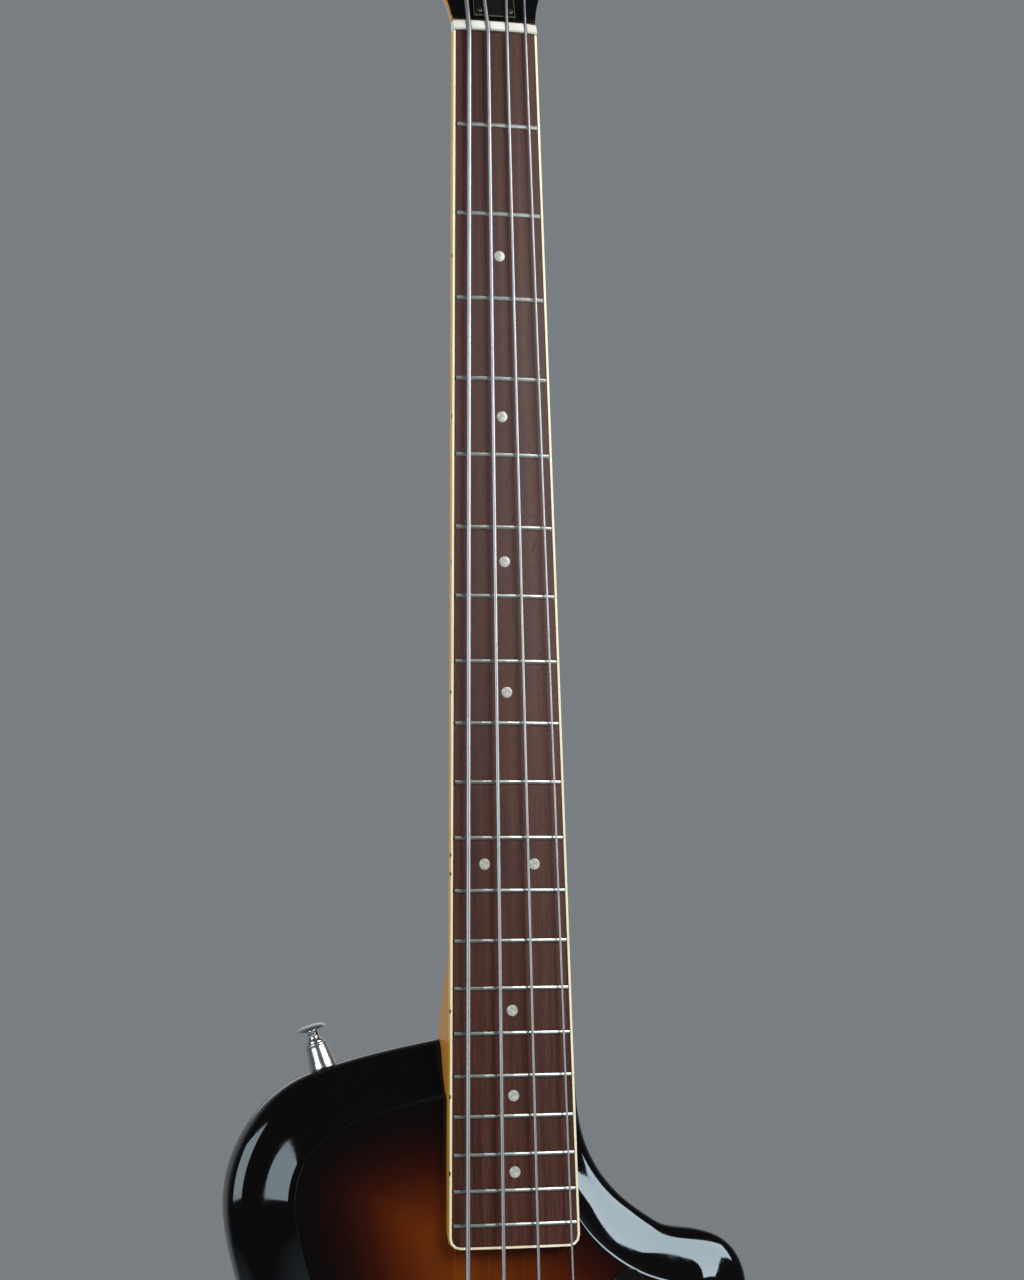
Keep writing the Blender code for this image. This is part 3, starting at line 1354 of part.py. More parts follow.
def make_end_button(material):
    """Strap button at the foot of the body, its flat end at the origin."""
    frame = frame_along((0, 0, BUTTON_HEIGHT), -UP, (1, 0, 0))
    return place("end_strap_button", lathe(button_profile(), 16), material, frame)


def upper_button_frame():
    """Matrix on the shoulder's side wall: local Z straight out of the wall."""
    anchors = upright(BODY_EDGE)
    steps = 40
    spots = arc_between(anchors[UPPER_BUTTON_ANCHOR], anchors[UPPER_BUTTON_ANCHOR + 1], steps)
    index = round(steps * UPPER_BUTTON_SHARE)
    run = (spots[index + 1] - spots[index - 1]).normalized()
    outward = Vector((run.y, 0, -run.x))
    middle = Vector((spots[index].x, 0, spots[index].y))
    return frame_along(middle + outward * SEAT_GAP, outward, (0, 1, 0))


def make_upper_button(button_material, spacer_material):
    """Strap button on its tall tapered spacer."""
    frame = upper_button_frame()
    top = SPACER_HEIGHT
    profile = (
        (SPACER_FOOT_RADIUS, 0),
        (SPACER_TOP_RADIUS + 0.0002, top - 0.0006),
        (SPACER_TOP_RADIUS - 0.0004, top),
    )
    place("upper_strap_spacer", lathe(profile, 24), spacer_material, frame)
    seat = frame @ Matrix.Translation((0, 0, top + SEAT_GAP))
    place("upper_strap_button", lathe(button_profile(), 16), button_material, seat)


def make_neck_plate(material):
    """Plain plate on the back, under the four neck bolts."""
    half = NECK_PLATE_LENGTH / 2
    outline = rounded_rectangle(NECK_PLATE_WIDTH / 2, -half, half, NECK_PLATE_CORNER)
    low = SEAT_GAP
    high = SEAT_GAP + NECK_PLATE_THICKNESS
    levels = ((low, 0), (high - NECK_PLATE_EDGE, 0), (high, NECK_PLATE_EDGE))
    frame = frame_along(point(0, NECK_PLATE_DISTANCE, BACK_DEPTH), -FRONT, (1, 0, 0))
    return place("neck_plate", slab(outline, levels), material, frame)


def main():
    """Builds the whole instrument."""
    clear_scene()
    lacquer = finish("sunburst_lacquer", (0.10, 0.025, 0.008), 0.12)
    maple = finish("maple", (0.48, 0.27, 0.10), 0.3)
    rosewood = finish("rosewood", (0.075, 0.03, 0.022), 0.45)
    binding = finish("cream_binding", (0.78, 0.66, 0.36), 0.3)
    bone = finish("bone", (0.72, 0.74, 0.68), 0.35)
    nickel = finish("fret_nickel", (0.62, 0.60, 0.52), 0.3, 1.0)
    steel = finish("string_steel", (0.66, 0.67, 0.68), 0.28, 1.0)
    chrome = finish("chrome", (0.75, 0.75, 0.76), 0.08, 1.0)
    black = finish("black_plastic", (0.012, 0.012, 0.013), 0.2)
    brass = finish("brass", (0.60, 0.44, 0.18), 0.3, 1.0)

    make_body(lacquer)
    make_neck(maple)
    make_fingerboard(rosewood)
    make_binding(binding)
    for number in range(1, FRET_COUNT + 1):
        make_fret(number, nickel)
    make_nut(bone)
    make_truss_rod(steel)
    make_truss_rod_cover(black)
    make_neck_plate(chrome)
    make_pickguard(black)
    for pickup in PICKUPS:
        make_pickup(pickup, black)
    make_bridge_plate(chrome)
    for string in STRINGS:
        make_saddle(string, chrome)
        make_string(string, steel)
    for name, tuner in TUNERS.items():
        make_tuner_plate(name, tuner, chrome)
        make_tuner_key(name, tuner, chrome)
        make_post(name, tuner, brass)
    for control in CONTROLS:
        make_pot(control, brass)
        make_knob(control, chrome)
    make_jack(chrome)
    make_end_button(chrome)
    make_upper_button(chrome, chrome)


main()
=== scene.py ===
"""Looks of a four-string electric bass guitar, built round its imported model.

Metres, in the model's own frame: +Z runs up the neck, +X is the treble side and -Y is the front.
Distances run from the front face of the nut towards the body, and depths run backwards from the
edge of the fingerboard.
"""

from __future__ import annotations

import json
import logging
import math
from dataclasses import dataclass
from enum import Enum
from typing import Callable, Sequence, Union

import bmesh
import bpy
import numpy as np
from mathutils import Matrix, Vector

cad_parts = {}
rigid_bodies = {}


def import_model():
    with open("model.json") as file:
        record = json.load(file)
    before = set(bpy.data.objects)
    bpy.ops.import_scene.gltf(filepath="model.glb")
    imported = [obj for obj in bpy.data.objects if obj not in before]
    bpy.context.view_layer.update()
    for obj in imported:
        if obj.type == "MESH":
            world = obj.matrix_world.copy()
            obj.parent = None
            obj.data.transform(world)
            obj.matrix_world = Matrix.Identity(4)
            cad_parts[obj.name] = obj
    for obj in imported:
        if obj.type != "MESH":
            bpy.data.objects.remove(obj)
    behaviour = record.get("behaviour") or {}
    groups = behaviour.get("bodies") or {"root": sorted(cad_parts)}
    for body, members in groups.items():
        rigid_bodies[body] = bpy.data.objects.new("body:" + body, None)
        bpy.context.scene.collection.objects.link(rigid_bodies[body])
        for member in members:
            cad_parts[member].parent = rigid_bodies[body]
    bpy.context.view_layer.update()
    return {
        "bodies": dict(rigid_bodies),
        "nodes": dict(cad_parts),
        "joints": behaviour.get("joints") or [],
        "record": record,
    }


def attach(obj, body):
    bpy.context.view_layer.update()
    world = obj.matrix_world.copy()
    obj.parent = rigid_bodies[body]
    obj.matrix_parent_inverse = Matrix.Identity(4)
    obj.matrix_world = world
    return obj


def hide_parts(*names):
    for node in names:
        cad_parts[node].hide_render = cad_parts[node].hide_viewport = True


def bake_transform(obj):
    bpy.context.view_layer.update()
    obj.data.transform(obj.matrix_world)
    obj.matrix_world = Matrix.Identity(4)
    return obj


LOG = logging.getLogger("bass")
INSTRUMENT = "instrument"
Triple = tuple[float, float, float]
Colour = Triple
Anchor = Triple
Loop = list[Vector]
Pair = tuple[float, float]
Stops = Sequence[tuple[float, Colour]]
Number = Union["Value", float]
Solid = bmesh.types.BMesh
Placed = tuple[Solid, Matrix]


@dataclass(frozen=True)
class Sizes:
    """Sizes of the model that the added pieces fit."""

    scale: float = 0.8640
    nut_height: float = 0.9563
    saddle_height: float = 0.0923
    axis_depth: float = 0.0330
    gap: float = 0.0003
    board_half_width: float = 0.02018
    board_widening: float = 0.01799
    board_radius: float = 0.2400
    board_crown: float = -0.0012
    board_back: float = 0.0050
    binding: float = 0.0011
    nut_length: float = 0.0052
    neck_length: float = 0.6000
    neck_corner: float = 0.0050
    heel_start: float = 0.4500
    heel_full: float = 0.5000
    heel_depth: float = 0.0280
    head_tilt: float = math.radians(14)
    head_depth: float = 0.0010
    top_depth: float = 0.0074
    back_depth: float = 0.0450
    guard_top: float = 0.0046
    bridge_top: float = 0.0051
    bridge_thickness: float = 0.0020
    bridge_back: float = 0.9000
    neck_plate: float = 0.5540
    pickups: tuple[Pair, ...] = ((-0.0171444, 0.7060), (0.0201681, 0.7350))
    volume: Pair = (0.0960, 0.7980)
    tone: Pair = (0.1060, 0.8360)
    jack: Pair = (0.0900, 0.8700)
    cutter_rise: float = 0.004


SIZES = Sizes()


def fret_distance(number: int) -> float:
    """Distance of a fret from the nut."""
    return SIZES.scale * (1 - 2 ** (-number / 12))


# Shader building


def arithmetic(operation: str, swapped: bool = False) -> Callable[[Value, Number], Value]:
    """Makes a method of a value that adds a Math node.

    Args:
        operation: operation of the node.
        swapped: whether the value is the second number.

    Returns:
        The method.
    """

    def method(value: Value, other: Number) -> Value:
        """The operation on this value and another."""
        numbers = (other, value) if swapped else (value, other)
        return value.graph.math(operation, *numbers)

    return method


class Value:
    """One shader socket, whose arithmetic adds Math nodes."""

    __add__ = arithmetic("ADD")
    __radd__ = arithmetic("ADD", True)
    __sub__ = arithmetic("SUBTRACT")
    __rsub__ = arithmetic("SUBTRACT", True)
    __mul__ = arithmetic("MULTIPLY")
    __rmul__ = arithmetic("MULTIPLY", True)
    __truediv__ = arithmetic("DIVIDE")

    def __init__(self, graph: Graph, socket: bpy.types.NodeSocket) -> None:
        """Wraps a socket of a graph."""
        self.graph = graph
        self.socket = socket

    def clamp(self) -> Value:
        """This value kept between 0 and 1."""
        return self.graph.math("MINIMUM", self.graph.math("MAXIMUM", self, 0.0), 1.0)

    def step(self, low: float, high: float) -> Value:
        """A smooth climb from 0 at low to 1 at high."""
        share = ((self - low) / (high - low)).clamp()
        return share * share * (3.0 - 2.0 * share)


class Graph:
    """Node graph of one material, round its Principled BSDF, or of the world."""

    def __init__(self, name: str = "", world: bpy.types.World | None = None) -> None:
        """Starts a material of that name, or clears the world's graph.

        Args:
            name: name of a new material.
            world: world whose graph it is instead.
        """
        if world is not None:
            self.tree = world.node_tree
            self.tree.nodes.clear()
            return
        self.material = bpy.data.materials.new(name)
        self.material.use_nodes = True
        self.tree = self.material.node_tree
        self.shader = self.tree.nodes["Principled BSDF"]

    def node(self, kind: str, settings: dict | None = None, inputs: dict | None = None) -> bpy.types.Node:
        """Adds a node.

        Args:
            kind: type of the node, such as ShaderNodeMath.
            settings: its own settings, or the stops of its ramp, set first.
            inputs: values or links of its sockets, by name or number.

        Returns:
            The node.
        """
        made = self.tree.nodes.new(kind)
        for name, setting in (settings or {}).items():
            if name == "stops":
                self.set_stops(made.color_ramp, setting)
            else:
                setattr(made, name, setting)
        for key, given in (inputs or {}).items():
            self.feed(made.inputs[key], given)
        return made

    def set_stops(self, ramp: bpy.types.ColorRamp, stops: Stops) -> None:
        """Gives a ramp its stops, as pairs of place and colour.

        Args:
            ramp: ramp of a node.
            stops: its places and colours.
        """
        while len(ramp.elements) > 1:
            ramp.elements.remove(ramp.elements[-1])
        for index, (place, colour) in enumerate(stops):
            element = ramp.elements[0] if index == 0 else ramp.elements.new(place)
            element.position = place
            element.color = (*colour, 1.0)

    def feed(self, socket: bpy.types.NodeSocket, given: object) -> None:
        """Links a value to a socket, or sets the socket to a plain one.

        Args:
            socket: input of a node.
            given: value, number, colour or scale.
        """
        if isinstance(given, Value):
            self.tree.links.new(given.socket, socket)
        elif isinstance(given, tuple) and socket.type == "RGBA" and len(given) == 3:
            socket.default_value = (*given, 1.0)
        else:
            socket.default_value = given

    def math(self, operation: str, first: Number, second: Number) -> Value:
        """A Math node on two values."""
        made = self.node("ShaderNodeMath", {"operation": operation}, {0: first, 1: second})
        return Value(self, made.outputs[0])

    def place(self, kind: str = "Object") -> Value:
        """Place on the piece, or in the world the direction that is looked at as kind Generated."""
        return Value(self, self.node("ShaderNodeTexCoord").outputs[kind])

    def stretch(self, place: Value, scale: Triple) -> Value:
        """A place scaled along X, Y and Z."""
        made = self.node("ShaderNodeVectorMath", {"operation": "MULTIPLY"}, {0: place, 1: scale})
        return Value(self, made.outputs[0])

    def parts(self, place: Value) -> list[Value]:
        """X, Y and Z of a place."""
        made = self.node("ShaderNodeSeparateXYZ", None, {0: place})
        return [Value(self, socket) for socket in made.outputs]

    def noise(self, place: Value, scale: float, detail: float = 2.0, roughness: float = 0.5) -> Value:
        """Noise of a size in repeats per unit of the place."""
        inputs = {"Vector": place, "Scale": scale, "Detail": detail, "Roughness": roughness}
        return Value(self, self.node("ShaderNodeTexNoise", None, inputs).outputs["Fac"])

    def grain(self, place: Value, along: float, *noise: float) -> Value:
        """Noise drawn out along the neck by a scale less than 1."""
        return self.noise(self.stretch(place, (1.0, 1.0, along)), *noise)

    def ramp(self, value: Value, stops: Stops) -> Value:
        """Colour that a value picks from a ramp."""
        made = self.node("ShaderNodeValToRGB", {"stops": stops}, {"Fac": value})
        return Value(self, made.outputs["Color"])

    def mix(self, share: Number, low: Value | Colour, high: Value | Colour, way: str = "MIX") -> Value:
        """Colour between two, at a share of the way.

        Args:
            share: share of the second colour.
            low: first colour.
            high: second colour.
            way: how the two are blended.

        Returns:
            The colour as a value.
        """
        settings = {"data_type": "RGBA", "blend_type": way}
        made = self.node("ShaderNodeMix", settings, {0: share, 6: low, 7: high})
        return Value(self, made.outputs[2])

    def attribute(self, name: str) -> Value:
        """Number that the mesh stores under a name."""
        made = self.node("ShaderNodeAttribute", {"attribute_name": name})
        return Value(self, made.outputs["Fac"])

    def bump(self, height: Value, distance: float, strength: float) -> None:
        """Raises the surface by a height, in shares of a distance.

        Args:
            height: height in shares of the distance.
            distance: greatest height.
            strength: share of its effect.
        """
        inputs = {"Height": height, "Distance": distance, "Strength": strength}
        made = self.node("ShaderNodeBump", None, inputs)
        self.tree.links.new(made.outputs["Normal"], self.shader.inputs["Normal"])

    def dress(self, **sockets: object) -> None:
        """Sets or links the shader's own sockets, named with underscores for spaces."""
        for name, given in sockets.items():
            self.feed(self.shader.inputs[name.replace("_", " ").title().replace("Ior", "IOR")], given)


class Finish:
    """A surface finish that makes its material once."""

    made: dict[str, bpy.types.Material] = {}

    def material(self) -> bpy.types.Material:
        """The material of this finish.

        Returns:
            The material, which is made on the first call.
        """
        if self.name not in Finish.made:
            graph = Graph(self.name)
            self.paint(graph)
            Finish.made[self.name] = graph.material
        return Finish.made[self.name]

    def paint(self, graph: Graph) -> None:
        """Builds the finish in a graph.

        Args:
            graph: graph of the material.
        """
        raise NotImplementedError


@dataclass(frozen=True)
class Sunburst(Finish):
    """Glossy burst from amber through red to black, by the share stored on the mesh."""

    name: str = "sunburst"
    slot: str = "sunburst_lacquer"
    stops: Stops = (
        (0.0, (0.0020, 0.0014, 0.0014)),
        (0.10, (0.0055, 0.0014, 0.0010)),
        (0.18, (0.0120, 0.0020, 0.0008)),
        (0.27, (0.0290, 0.0040, 0.0008)),
        (0.35, (0.0600, 0.0095, 0.0008)),
        (0.43, (0.0950, 0.0165, 0.0008)),
        (0.52, (0.1350, 0.0270, 0.0010)),
        (0.63, (0.2200, 0.0580, 0.0024)),
        (0.77, (0.4000, 0.1250, 0.0060)),
        (0.95, (0.6000, 0.2350, 0.0160)),
    )
    streak: Colour = (0.66, 0.52, 0.40)
    cool: Colour = (0.80, 1.0, 1.12)

    def paint(self, graph: Graph) -> None:
        """Burst colours under gloss, with the wood's faint grain in the amber.

        Args:
            graph: graph of the material.
        """
        place = graph.place()
        grain = graph.grain(place, 0.06, 260.0, 4.0, 0.6)
        wander = graph.noise(place, 14.0)
        colour = graph.ramp((graph.attribute("burst") + (wander - 0.5) * 0.03).clamp(), self.stops)
        shade = graph.mix((grain * 0.5).clamp(), (1.0, 1.0, 1.0), self.streak)
        dust = graph.noise(place, 900.0, 3.0)
        haze = graph.noise(place, 70.0, 5.0, 0.7).step(0.45, 0.75)
        graph.dress(
            base_color=graph.mix(1.0, colour, shade, "MULTIPLY"),
            roughness=0.03 + dust * 0.04 + haze * 0.09,
            specular_tint=self.cool,
        )
        graph.bump(graph.noise(place, 35.0) + dust * 0.04, 0.00014, 0.3)


@dataclass(frozen=True)
class Maple(Finish):
    """Amber-tinted maple under gloss, deeper by the heel and by the headstock."""

    name: str = "maple_lacquer"
    slot: str = "maple"
    pale: Colour = (0.40, 0.195, 0.054)
    deep: Colour = (0.29, 0.120, 0.028)
    heel: Colour = (0.62, 0.265, 0.038)

    def paint(self, graph: Graph) -> None:
        """Fine flecks and long bands along the neck.

        Args:
            graph: graph of the material.
        """
        place = graph.place()
        height = graph.parts(place)[2]
        bands = graph.grain(place, 0.05, 120.0, 4.0, 0.55)
        flecks = graph.grain(place, 0.12, 1500.0)
        wood = graph.mix((bands * 0.75 + flecks * 0.3).step(0.3, 0.8), self.pale, self.deep)
        tinted = 1.0 - height.step(0.44, 0.54) + height.step(0.890, 0.985)
        graph.dress(base_color=graph.mix(tinted * 0.75, wood, self.heel), roughness=0.14 + bands * 0.10)
        graph.bump(flecks, 0.00002, 0.3)


@dataclass(frozen=True)
class Rosewood(Finish):
    """Dark open-pored board with streaks along the neck."""

    name: str = "rosewood_board"
    slot: str = "rosewood"
    dark: Colour = (0.0085, 0.0028, 0.0020)
    red: Colour = (0.048, 0.0118, 0.0064)
    brown: Colour = (0.080, 0.0260, 0.0155)
    dry: Colour = (0.100, 0.056, 0.050)

    def paint(self, graph: Graph) -> None:
        """Broad streaks, fine fibres and short dark pores.

        Args:
            graph: graph of the material.
        """
        place = graph.place()
        streaks = graph.grain(place, 0.018, 330.0, 4.0, 0.6)
        fibres = graph.grain(place, 0.035, 1500.0, 3.0, 0.65)
        pores = graph.grain(place, 0.10, 2600.0)
        stops = ((0.30, self.dark), (0.47, self.red), (0.62, self.brown), (0.75, self.red))
        wood = graph.ramp(streaks * 0.62 + fibres * 0.38, stops)
        pits = pores.step(0.60, 0.72)
        height = graph.parts(place)[2]
        worn = height.step(0.40, 0.75) * (0.58 - height.step(0.78, 0.98) * 0.46)
        graph.dress(
            base_color=graph.mix(pits * 0.75, graph.mix(worn, wood, self.dry), self.dark),
            roughness=0.42 + fibres * 0.18,
            specular_ior_level=0.20,
        )
        graph.bump(fibres * 0.6 - pits * 0.8, 0.00006, 0.8)


@dataclass(frozen=True)
class Moulded(Finish):
    """Plastic, bone or lacquer of one colour, with faint clouding and hairline wear."""

    name: str
    slot: str
    colour: Colour
    cloud: Colour
    roughness: float = 0.28
    clouding: float = 60.0
    wear: float = 0.00001

    def paint(self, graph: Graph) -> None:
        """Soft clouding and a fine polish.

        Args:
            graph: graph of the material.
        """
        place = graph.place()
        clouds = graph.noise(place, self.clouding, 3.0)
        rub = graph.grain(place, 0.2, 2200.0)
        graph.dress(
            base_color=graph.mix(clouds.step(0.35, 0.70), self.colour, self.cloud),
            roughness=self.roughness + (rub - 0.5) * 0.08,
        )
        graph.bump(rub, self.wear, 0.4)


@dataclass(frozen=True)
class Plated(Finish):
    """Metal with a polish that is worn a little unevenly."""

    name: str
    slot: str
    colour: Colour
    roughness: float = 0.10
    spread: float = 0.08
    brush: Triple = (1.0, 1.0, 1.0)
    wear: float = 0.00001
    smudged: Colour = (0.38, 0.36, 0.33)

    def clean(self, graph: Graph, place: Value) -> Value | Colour:
        """Colour of the metal without smudges."""
        return self.colour

    def paint(self, graph: Graph) -> None:
        """Smudges in the gloss and fine polishing lines.

        Args:
            graph: graph of the material.
        """
        place = graph.place()
        smudge = graph.noise(place, 90.0, 3.0)
        lines = graph.noise(graph.stretch(place, self.brush), 2500.0)
        graph.dress(
            base_color=graph.mix(smudge.step(0.45, 0.85) * 0.35, self.clean(graph, place), self.smudged),
            metallic=1.0,
            roughness=self.roughness + smudge * self.spread + lines * 0.04,
        )
        graph.bump(lines, self.wear, 0.35)


@dataclass(frozen=True)
class FretNickelPaintedShade(Plated):
    """Nickel silver with painted shade that darkens it towards the body."""

    # Painted shade: colour the frets darken to by the body
    dull: Colour = (0.27, 0.29, 0.27)

    def clean(self, graph: Graph, place: Value) -> Value | Colour:
        """Colour by the height on the neck, with painted shade towards the body."""
        return graph.mix(graph.parts(place)[2].step(0.40, 0.85), self.dull, self.colour)


@dataclass(frozen=True)
class Wound(Finish):
    """Bright steel wrap of a string, one ridge for each turn of the wrap wire."""

    name: str = "wound_steel"
    slot: str = "string_steel"
    wrap: float = 0.00042
    bright: Colour = (0.33, 0.345, 0.37)
    dull: Colour = (0.24, 0.245, 0.25)

    def paint(self, graph: Graph) -> None:
        """Ridges by the length stored on the mesh.

        Args:
            graph: graph of the material.
        """
        along = graph.attribute("along")
        ridge = graph.math("SINE", along * (2 * math.pi / self.wrap), 0.0)
        tarnish = graph.noise(graph.place(), 45.0, 3.0)
        graph.dress(
            base_color=graph.mix(tarnish.step(0.4, 0.8) * 0.4, self.bright, self.dull),
            metallic=1.0,
            roughness=0.38 + tarnish * 0.08,
        )
        graph.bump(ridge * 0.5 + 0.5, 0.00005, 0.25)


@dataclass(frozen=True)
class Pearl(Finish):
    """Grey-white pearl of the position dots."""

    name: str = "pearl_dot"
    slot: str = "bone"
    stops: Stops = ((0.3, (0.21, 0.22, 0.20)), (0.5, (0.40, 0.41, 0.37)), (0.7, (0.62, 0.62, 0.56)))

    def paint(self, graph: Graph) -> None:
        """Layered shimmer.

        Args:
            graph: graph of the material.
        """
        layers = graph.grain(graph.place(), 0.5, 420.0, 4.0, 0.7)
        colour = graph.ramp(layers, self.stops)
        graph.dress(base_color=colour, roughness=0.28, coat_weight=0.6, coat_roughness=0.08)
        graph.bump(layers, 0.00001, 0.3)


@dataclass(frozen=True)
class Laminate(Finish):
    """Black plastic sheet on the headstock with a pale ply that shows on its bevel."""

    name: str = "cover_laminate"
    slot: str = "black_plastic"
    face: float = 0.2661025
    ply: Pair = (0.0005, 0.0008)
    blur: float = 0.00006
    black: Colour = (0.003, 0.003, 0.0035)
    cloud: Colour = (0.007, 0.007, 0.007)
    pale: Colour = (0.13, 0.11, 0.065)

    def paint(self, graph: Graph) -> None:
        """Plies by the depth below the sheet's face, whose place is a distance from the frame's origin.

        Args:
            graph: graph of the material.
        """
        place = graph.place()
        back, up = graph.parts(place)[1:]
        depth = self.face - (up * math.sin(SIZES.head_tilt) - back * math.cos(SIZES.head_tilt))
        start, end = (depth.step(edge - self.blur, edge + self.blur) for edge in self.ply)
        rub = graph.noise(place, 1800.0)
        clouds = graph.noise(place, 50.0, 3.0)
        black = graph.mix(clouds.step(0.4, 0.8), self.black, self.cloud)
        graph.dress(base_color=graph.mix(start * (1.0 - end), black, self.pale), roughness=0.12 + rub * 0.08)
        graph.bump(rub, 0.00001, 0.3)


SUNBURST = Sunburst()
MAPLE = Maple()
ROSEWOOD = Rosewood()
PEARL = Pearl()
WOUND = Wound()
COVER_LAMINATE = Laminate()
BLACK_LACQUER = Moulded(
    "black_lacquer", "sunburst_lacquer", (0.002, 0.002, 0.0022), (0.004, 0.004, 0.0043), 0.08
)
BINDING = Moulded("cream_binding", "cream_binding", (0.82, 0.77, 0.56), (0.78, 0.71, 0.46), 0.25, 30.0)
# Painted reflection of the sunburst on the binding's sides, with the lacquer's tint
BINDING_SIDE_REFLECTION = Moulded(
    "binding_side_painted_reflection", "cream_binding", (0.66, 0.39, 0.055), (0.62, 0.33, 0.038), 0.22, 30.0
)
BONE = Moulded("bone_nut", "bone", (0.74, 0.75, 0.69), (0.64, 0.64, 0.56), 0.32, 140.0)
BLACK_PLASTIC = Moulded("black_plastic", "black_plastic", (0.004, 0.004, 0.0045), (0.007, 0.007, 0.007), 0.14)
PICKUP_COVER = Moulded("pickup_cover", "black_plastic", (0.010, 0.010, 0.010), (0.016, 0.016, 0.015), 0.30)
SIDE_DOT = Moulded("side_dot", "black_plastic", (0.006, 0.006, 0.006), (0.010, 0.010, 0.010), 0.35)
CHROME = Plated("chrome_plate", "chrome", (0.64, 0.66, 0.68), 0.07, 0.06)
NICKEL = FretNickelPaintedShade("fret_nickel", "fret_nickel", (0.72, 0.78, 0.74), 0.27, 0.10, (0.1, 1.0, 1.0))
SOFT_CHROME = Plated("soft_chrome", "chrome", (0.60, 0.63, 0.64), 0.20, 0.06)
STEEL = Plated("screw_steel", "chrome", (0.62, 0.61, 0.59), 0.18, 0.14)
DARK_STEEL = Plated("dark_screw", "black_plastic", (0.055, 0.050, 0.048), 0.40, 0.10)
BRASS = Plated("gear_brass", "brass", (0.66, 0.47, 0.20), 0.22, 0.16)


# Light, floor and camera


def add_object(name: str, data: bpy.types.ID, frame: Matrix = Matrix()) -> bpy.types.Object:
    """Object in the scene, at a frame or at the origin.

    Args:
        name: name of the object.
        data: its mesh, lamp or camera.
        frame: its place.

    Returns:
        The object.
    """
    item = bpy.data.objects.new(name, data)
    bpy.context.scene.collection.objects.link(item)
    item.matrix_world = frame
    return item


@dataclass(frozen=True)
class Softbox:
    """Square lamp that faces a point of the instrument."""

    name: str
    place: Triple
    target: Triple
    width: float
    height: float
    power: float

    def build(self) -> None:
        """Hangs the lamp."""
        data = bpy.data.lights.new(self.name, "AREA")
        data.shape = "RECTANGLE"
        data.size = self.width
        data.size_y = self.height
        data.energy = self.power
        aim = (Vector(self.target) - Vector(self.place)).to_track_quat("-Z", "Y").to_matrix().to_4x4()
        lamp = add_object(self.name, data, Matrix.Translation(self.place) @ aim)
        lamp.visible_camera = False


@dataclass(frozen=True)
class Studio:
    """Grey backdrop, pale floor, soft lamps and the camera."""

    backdrop: Colour = (0.190, 0.210, 0.223)
    room: Colour = (0.050, 0.055, 0.060)
    fill_front: Colour = (0.17, 0.175, 0.18)
    fill_back: Colour = (0.80, 0.81, 0.82)
    floor_colour: Colour = (0.40, 0.41, 0.42)
    floor_radius: float = 1.5
    floor_drop: float = 0.0005
    camera_place: Triple = (-0.36223, -1.46296, 0.46099)
    camera_right: Triple = (0.96923, -0.24557, -0.01712)
    camera_up: Triple = (-0.01431, -0.12563, 0.99197)
    lens: float = 84.99
    sensor_width: float = 36.0
    lamps: tuple[Softbox, ...] = (
        Softbox("left_softbox", (-1.894, -1.439, 0.958), (-0.11, -0.02, 0.39), 1.57, 1.26, 31.0),
        Softbox("right_softbox", (1.406, -1.580, 1.378), (0.05, -0.02, 0.37), 1.86, 0.90, 58.0),
        Softbox("back_softbox", (0.6, 2.0, 1.5), (0.0, 0.0, 0.5), 2.2, 1.6, 4.5),
    )

    def build(self) -> None:
        """Sets up everything that isn't the instrument."""
        self.light_world()
        self.lay_floor()
        for lamp in self.lamps:
            lamp.build()
        self.set_camera()
        bpy.context.scene.view_settings.view_transform = "Standard"

    def light_world(self) -> None:
        """World that shows the backdrop behind, a dim room in front, and fills the back with light."""
        world = bpy.data.worlds.new("studio")
        bpy.context.scene.world = world
        world.use_nodes = True
        graph = Graph(world=world)
        along = graph.parts(graph.place("Generated"))[1]
        path = graph.node("ShaderNodeLightPath")
        names = ("Is Camera Ray", "Is Glossy Ray", "Is Transmission Ray")
        camera, glossy, through = (Value(graph, path.outputs[name]) for name in names)
        fill = graph.mix(along.step(-0.3, 0.6), self.fill_front, self.fill_back)
        mirrored = graph.mix(along.step(0.05, 0.60), self.room, self.backdrop)
        seen = graph.mix((glossy + through).clamp(), fill, mirrored)
        colour = graph.mix(camera, seen, self.backdrop)
        background = graph.node("ShaderNodeBackground", None, {"Color": colour})
        output = graph.node("ShaderNodeOutputWorld")
        graph.tree.links.new(background.outputs[0], output.inputs["Surface"])

    def lay_floor(self) -> None:
        """Round pale floor under the instrument, which fades out at its rim."""
        solid = bmesh.new()
        bmesh.ops.create_circle(solid, cap_ends=True, radius=self.floor_radius, segments=96)
        mesh = bpy.data.meshes.new("floor")
        solid.to_mesh(mesh)
        solid.free()
        graph = Graph("floor_paint")
        across, depth = graph.parts(graph.place())[:2]
        reach = graph.math("SQRT", across * across + depth * depth, 0.0)
        fade = reach.step(self.floor_radius * 0.35, self.floor_radius * 0.99)
        graph.dress(base_color=self.floor_colour, roughness=0.7, alpha=1.0 - fade)
        mesh.materials.append(graph.material)
        add_object("floor", mesh, Matrix.Translation((0, 0, -self.floor_drop)))

    def set_camera(self) -> None:
        """Camera at the photograph's viewpoint."""
        data = bpy.data.cameras.new("camera")
        data.lens = self.lens
        data.sensor_width = self.sensor_width
        data.clip_start = 0.05
        right = Vector(self.camera_right).normalized()
        back = right.cross(Vector(self.camera_up)).normalized()
        turn = Matrix((right, back.cross(right), back)).transposed().to_4x4()
        bpy.context.scene.camera = add_object("camera", data, Matrix.Translation(self.camera_place) @ turn)


# Mesh building


class Change(Enum):
    """How a piece is changed by another solid."""

    JOIN = "UNION"
    CUT = "DIFFERENCE"


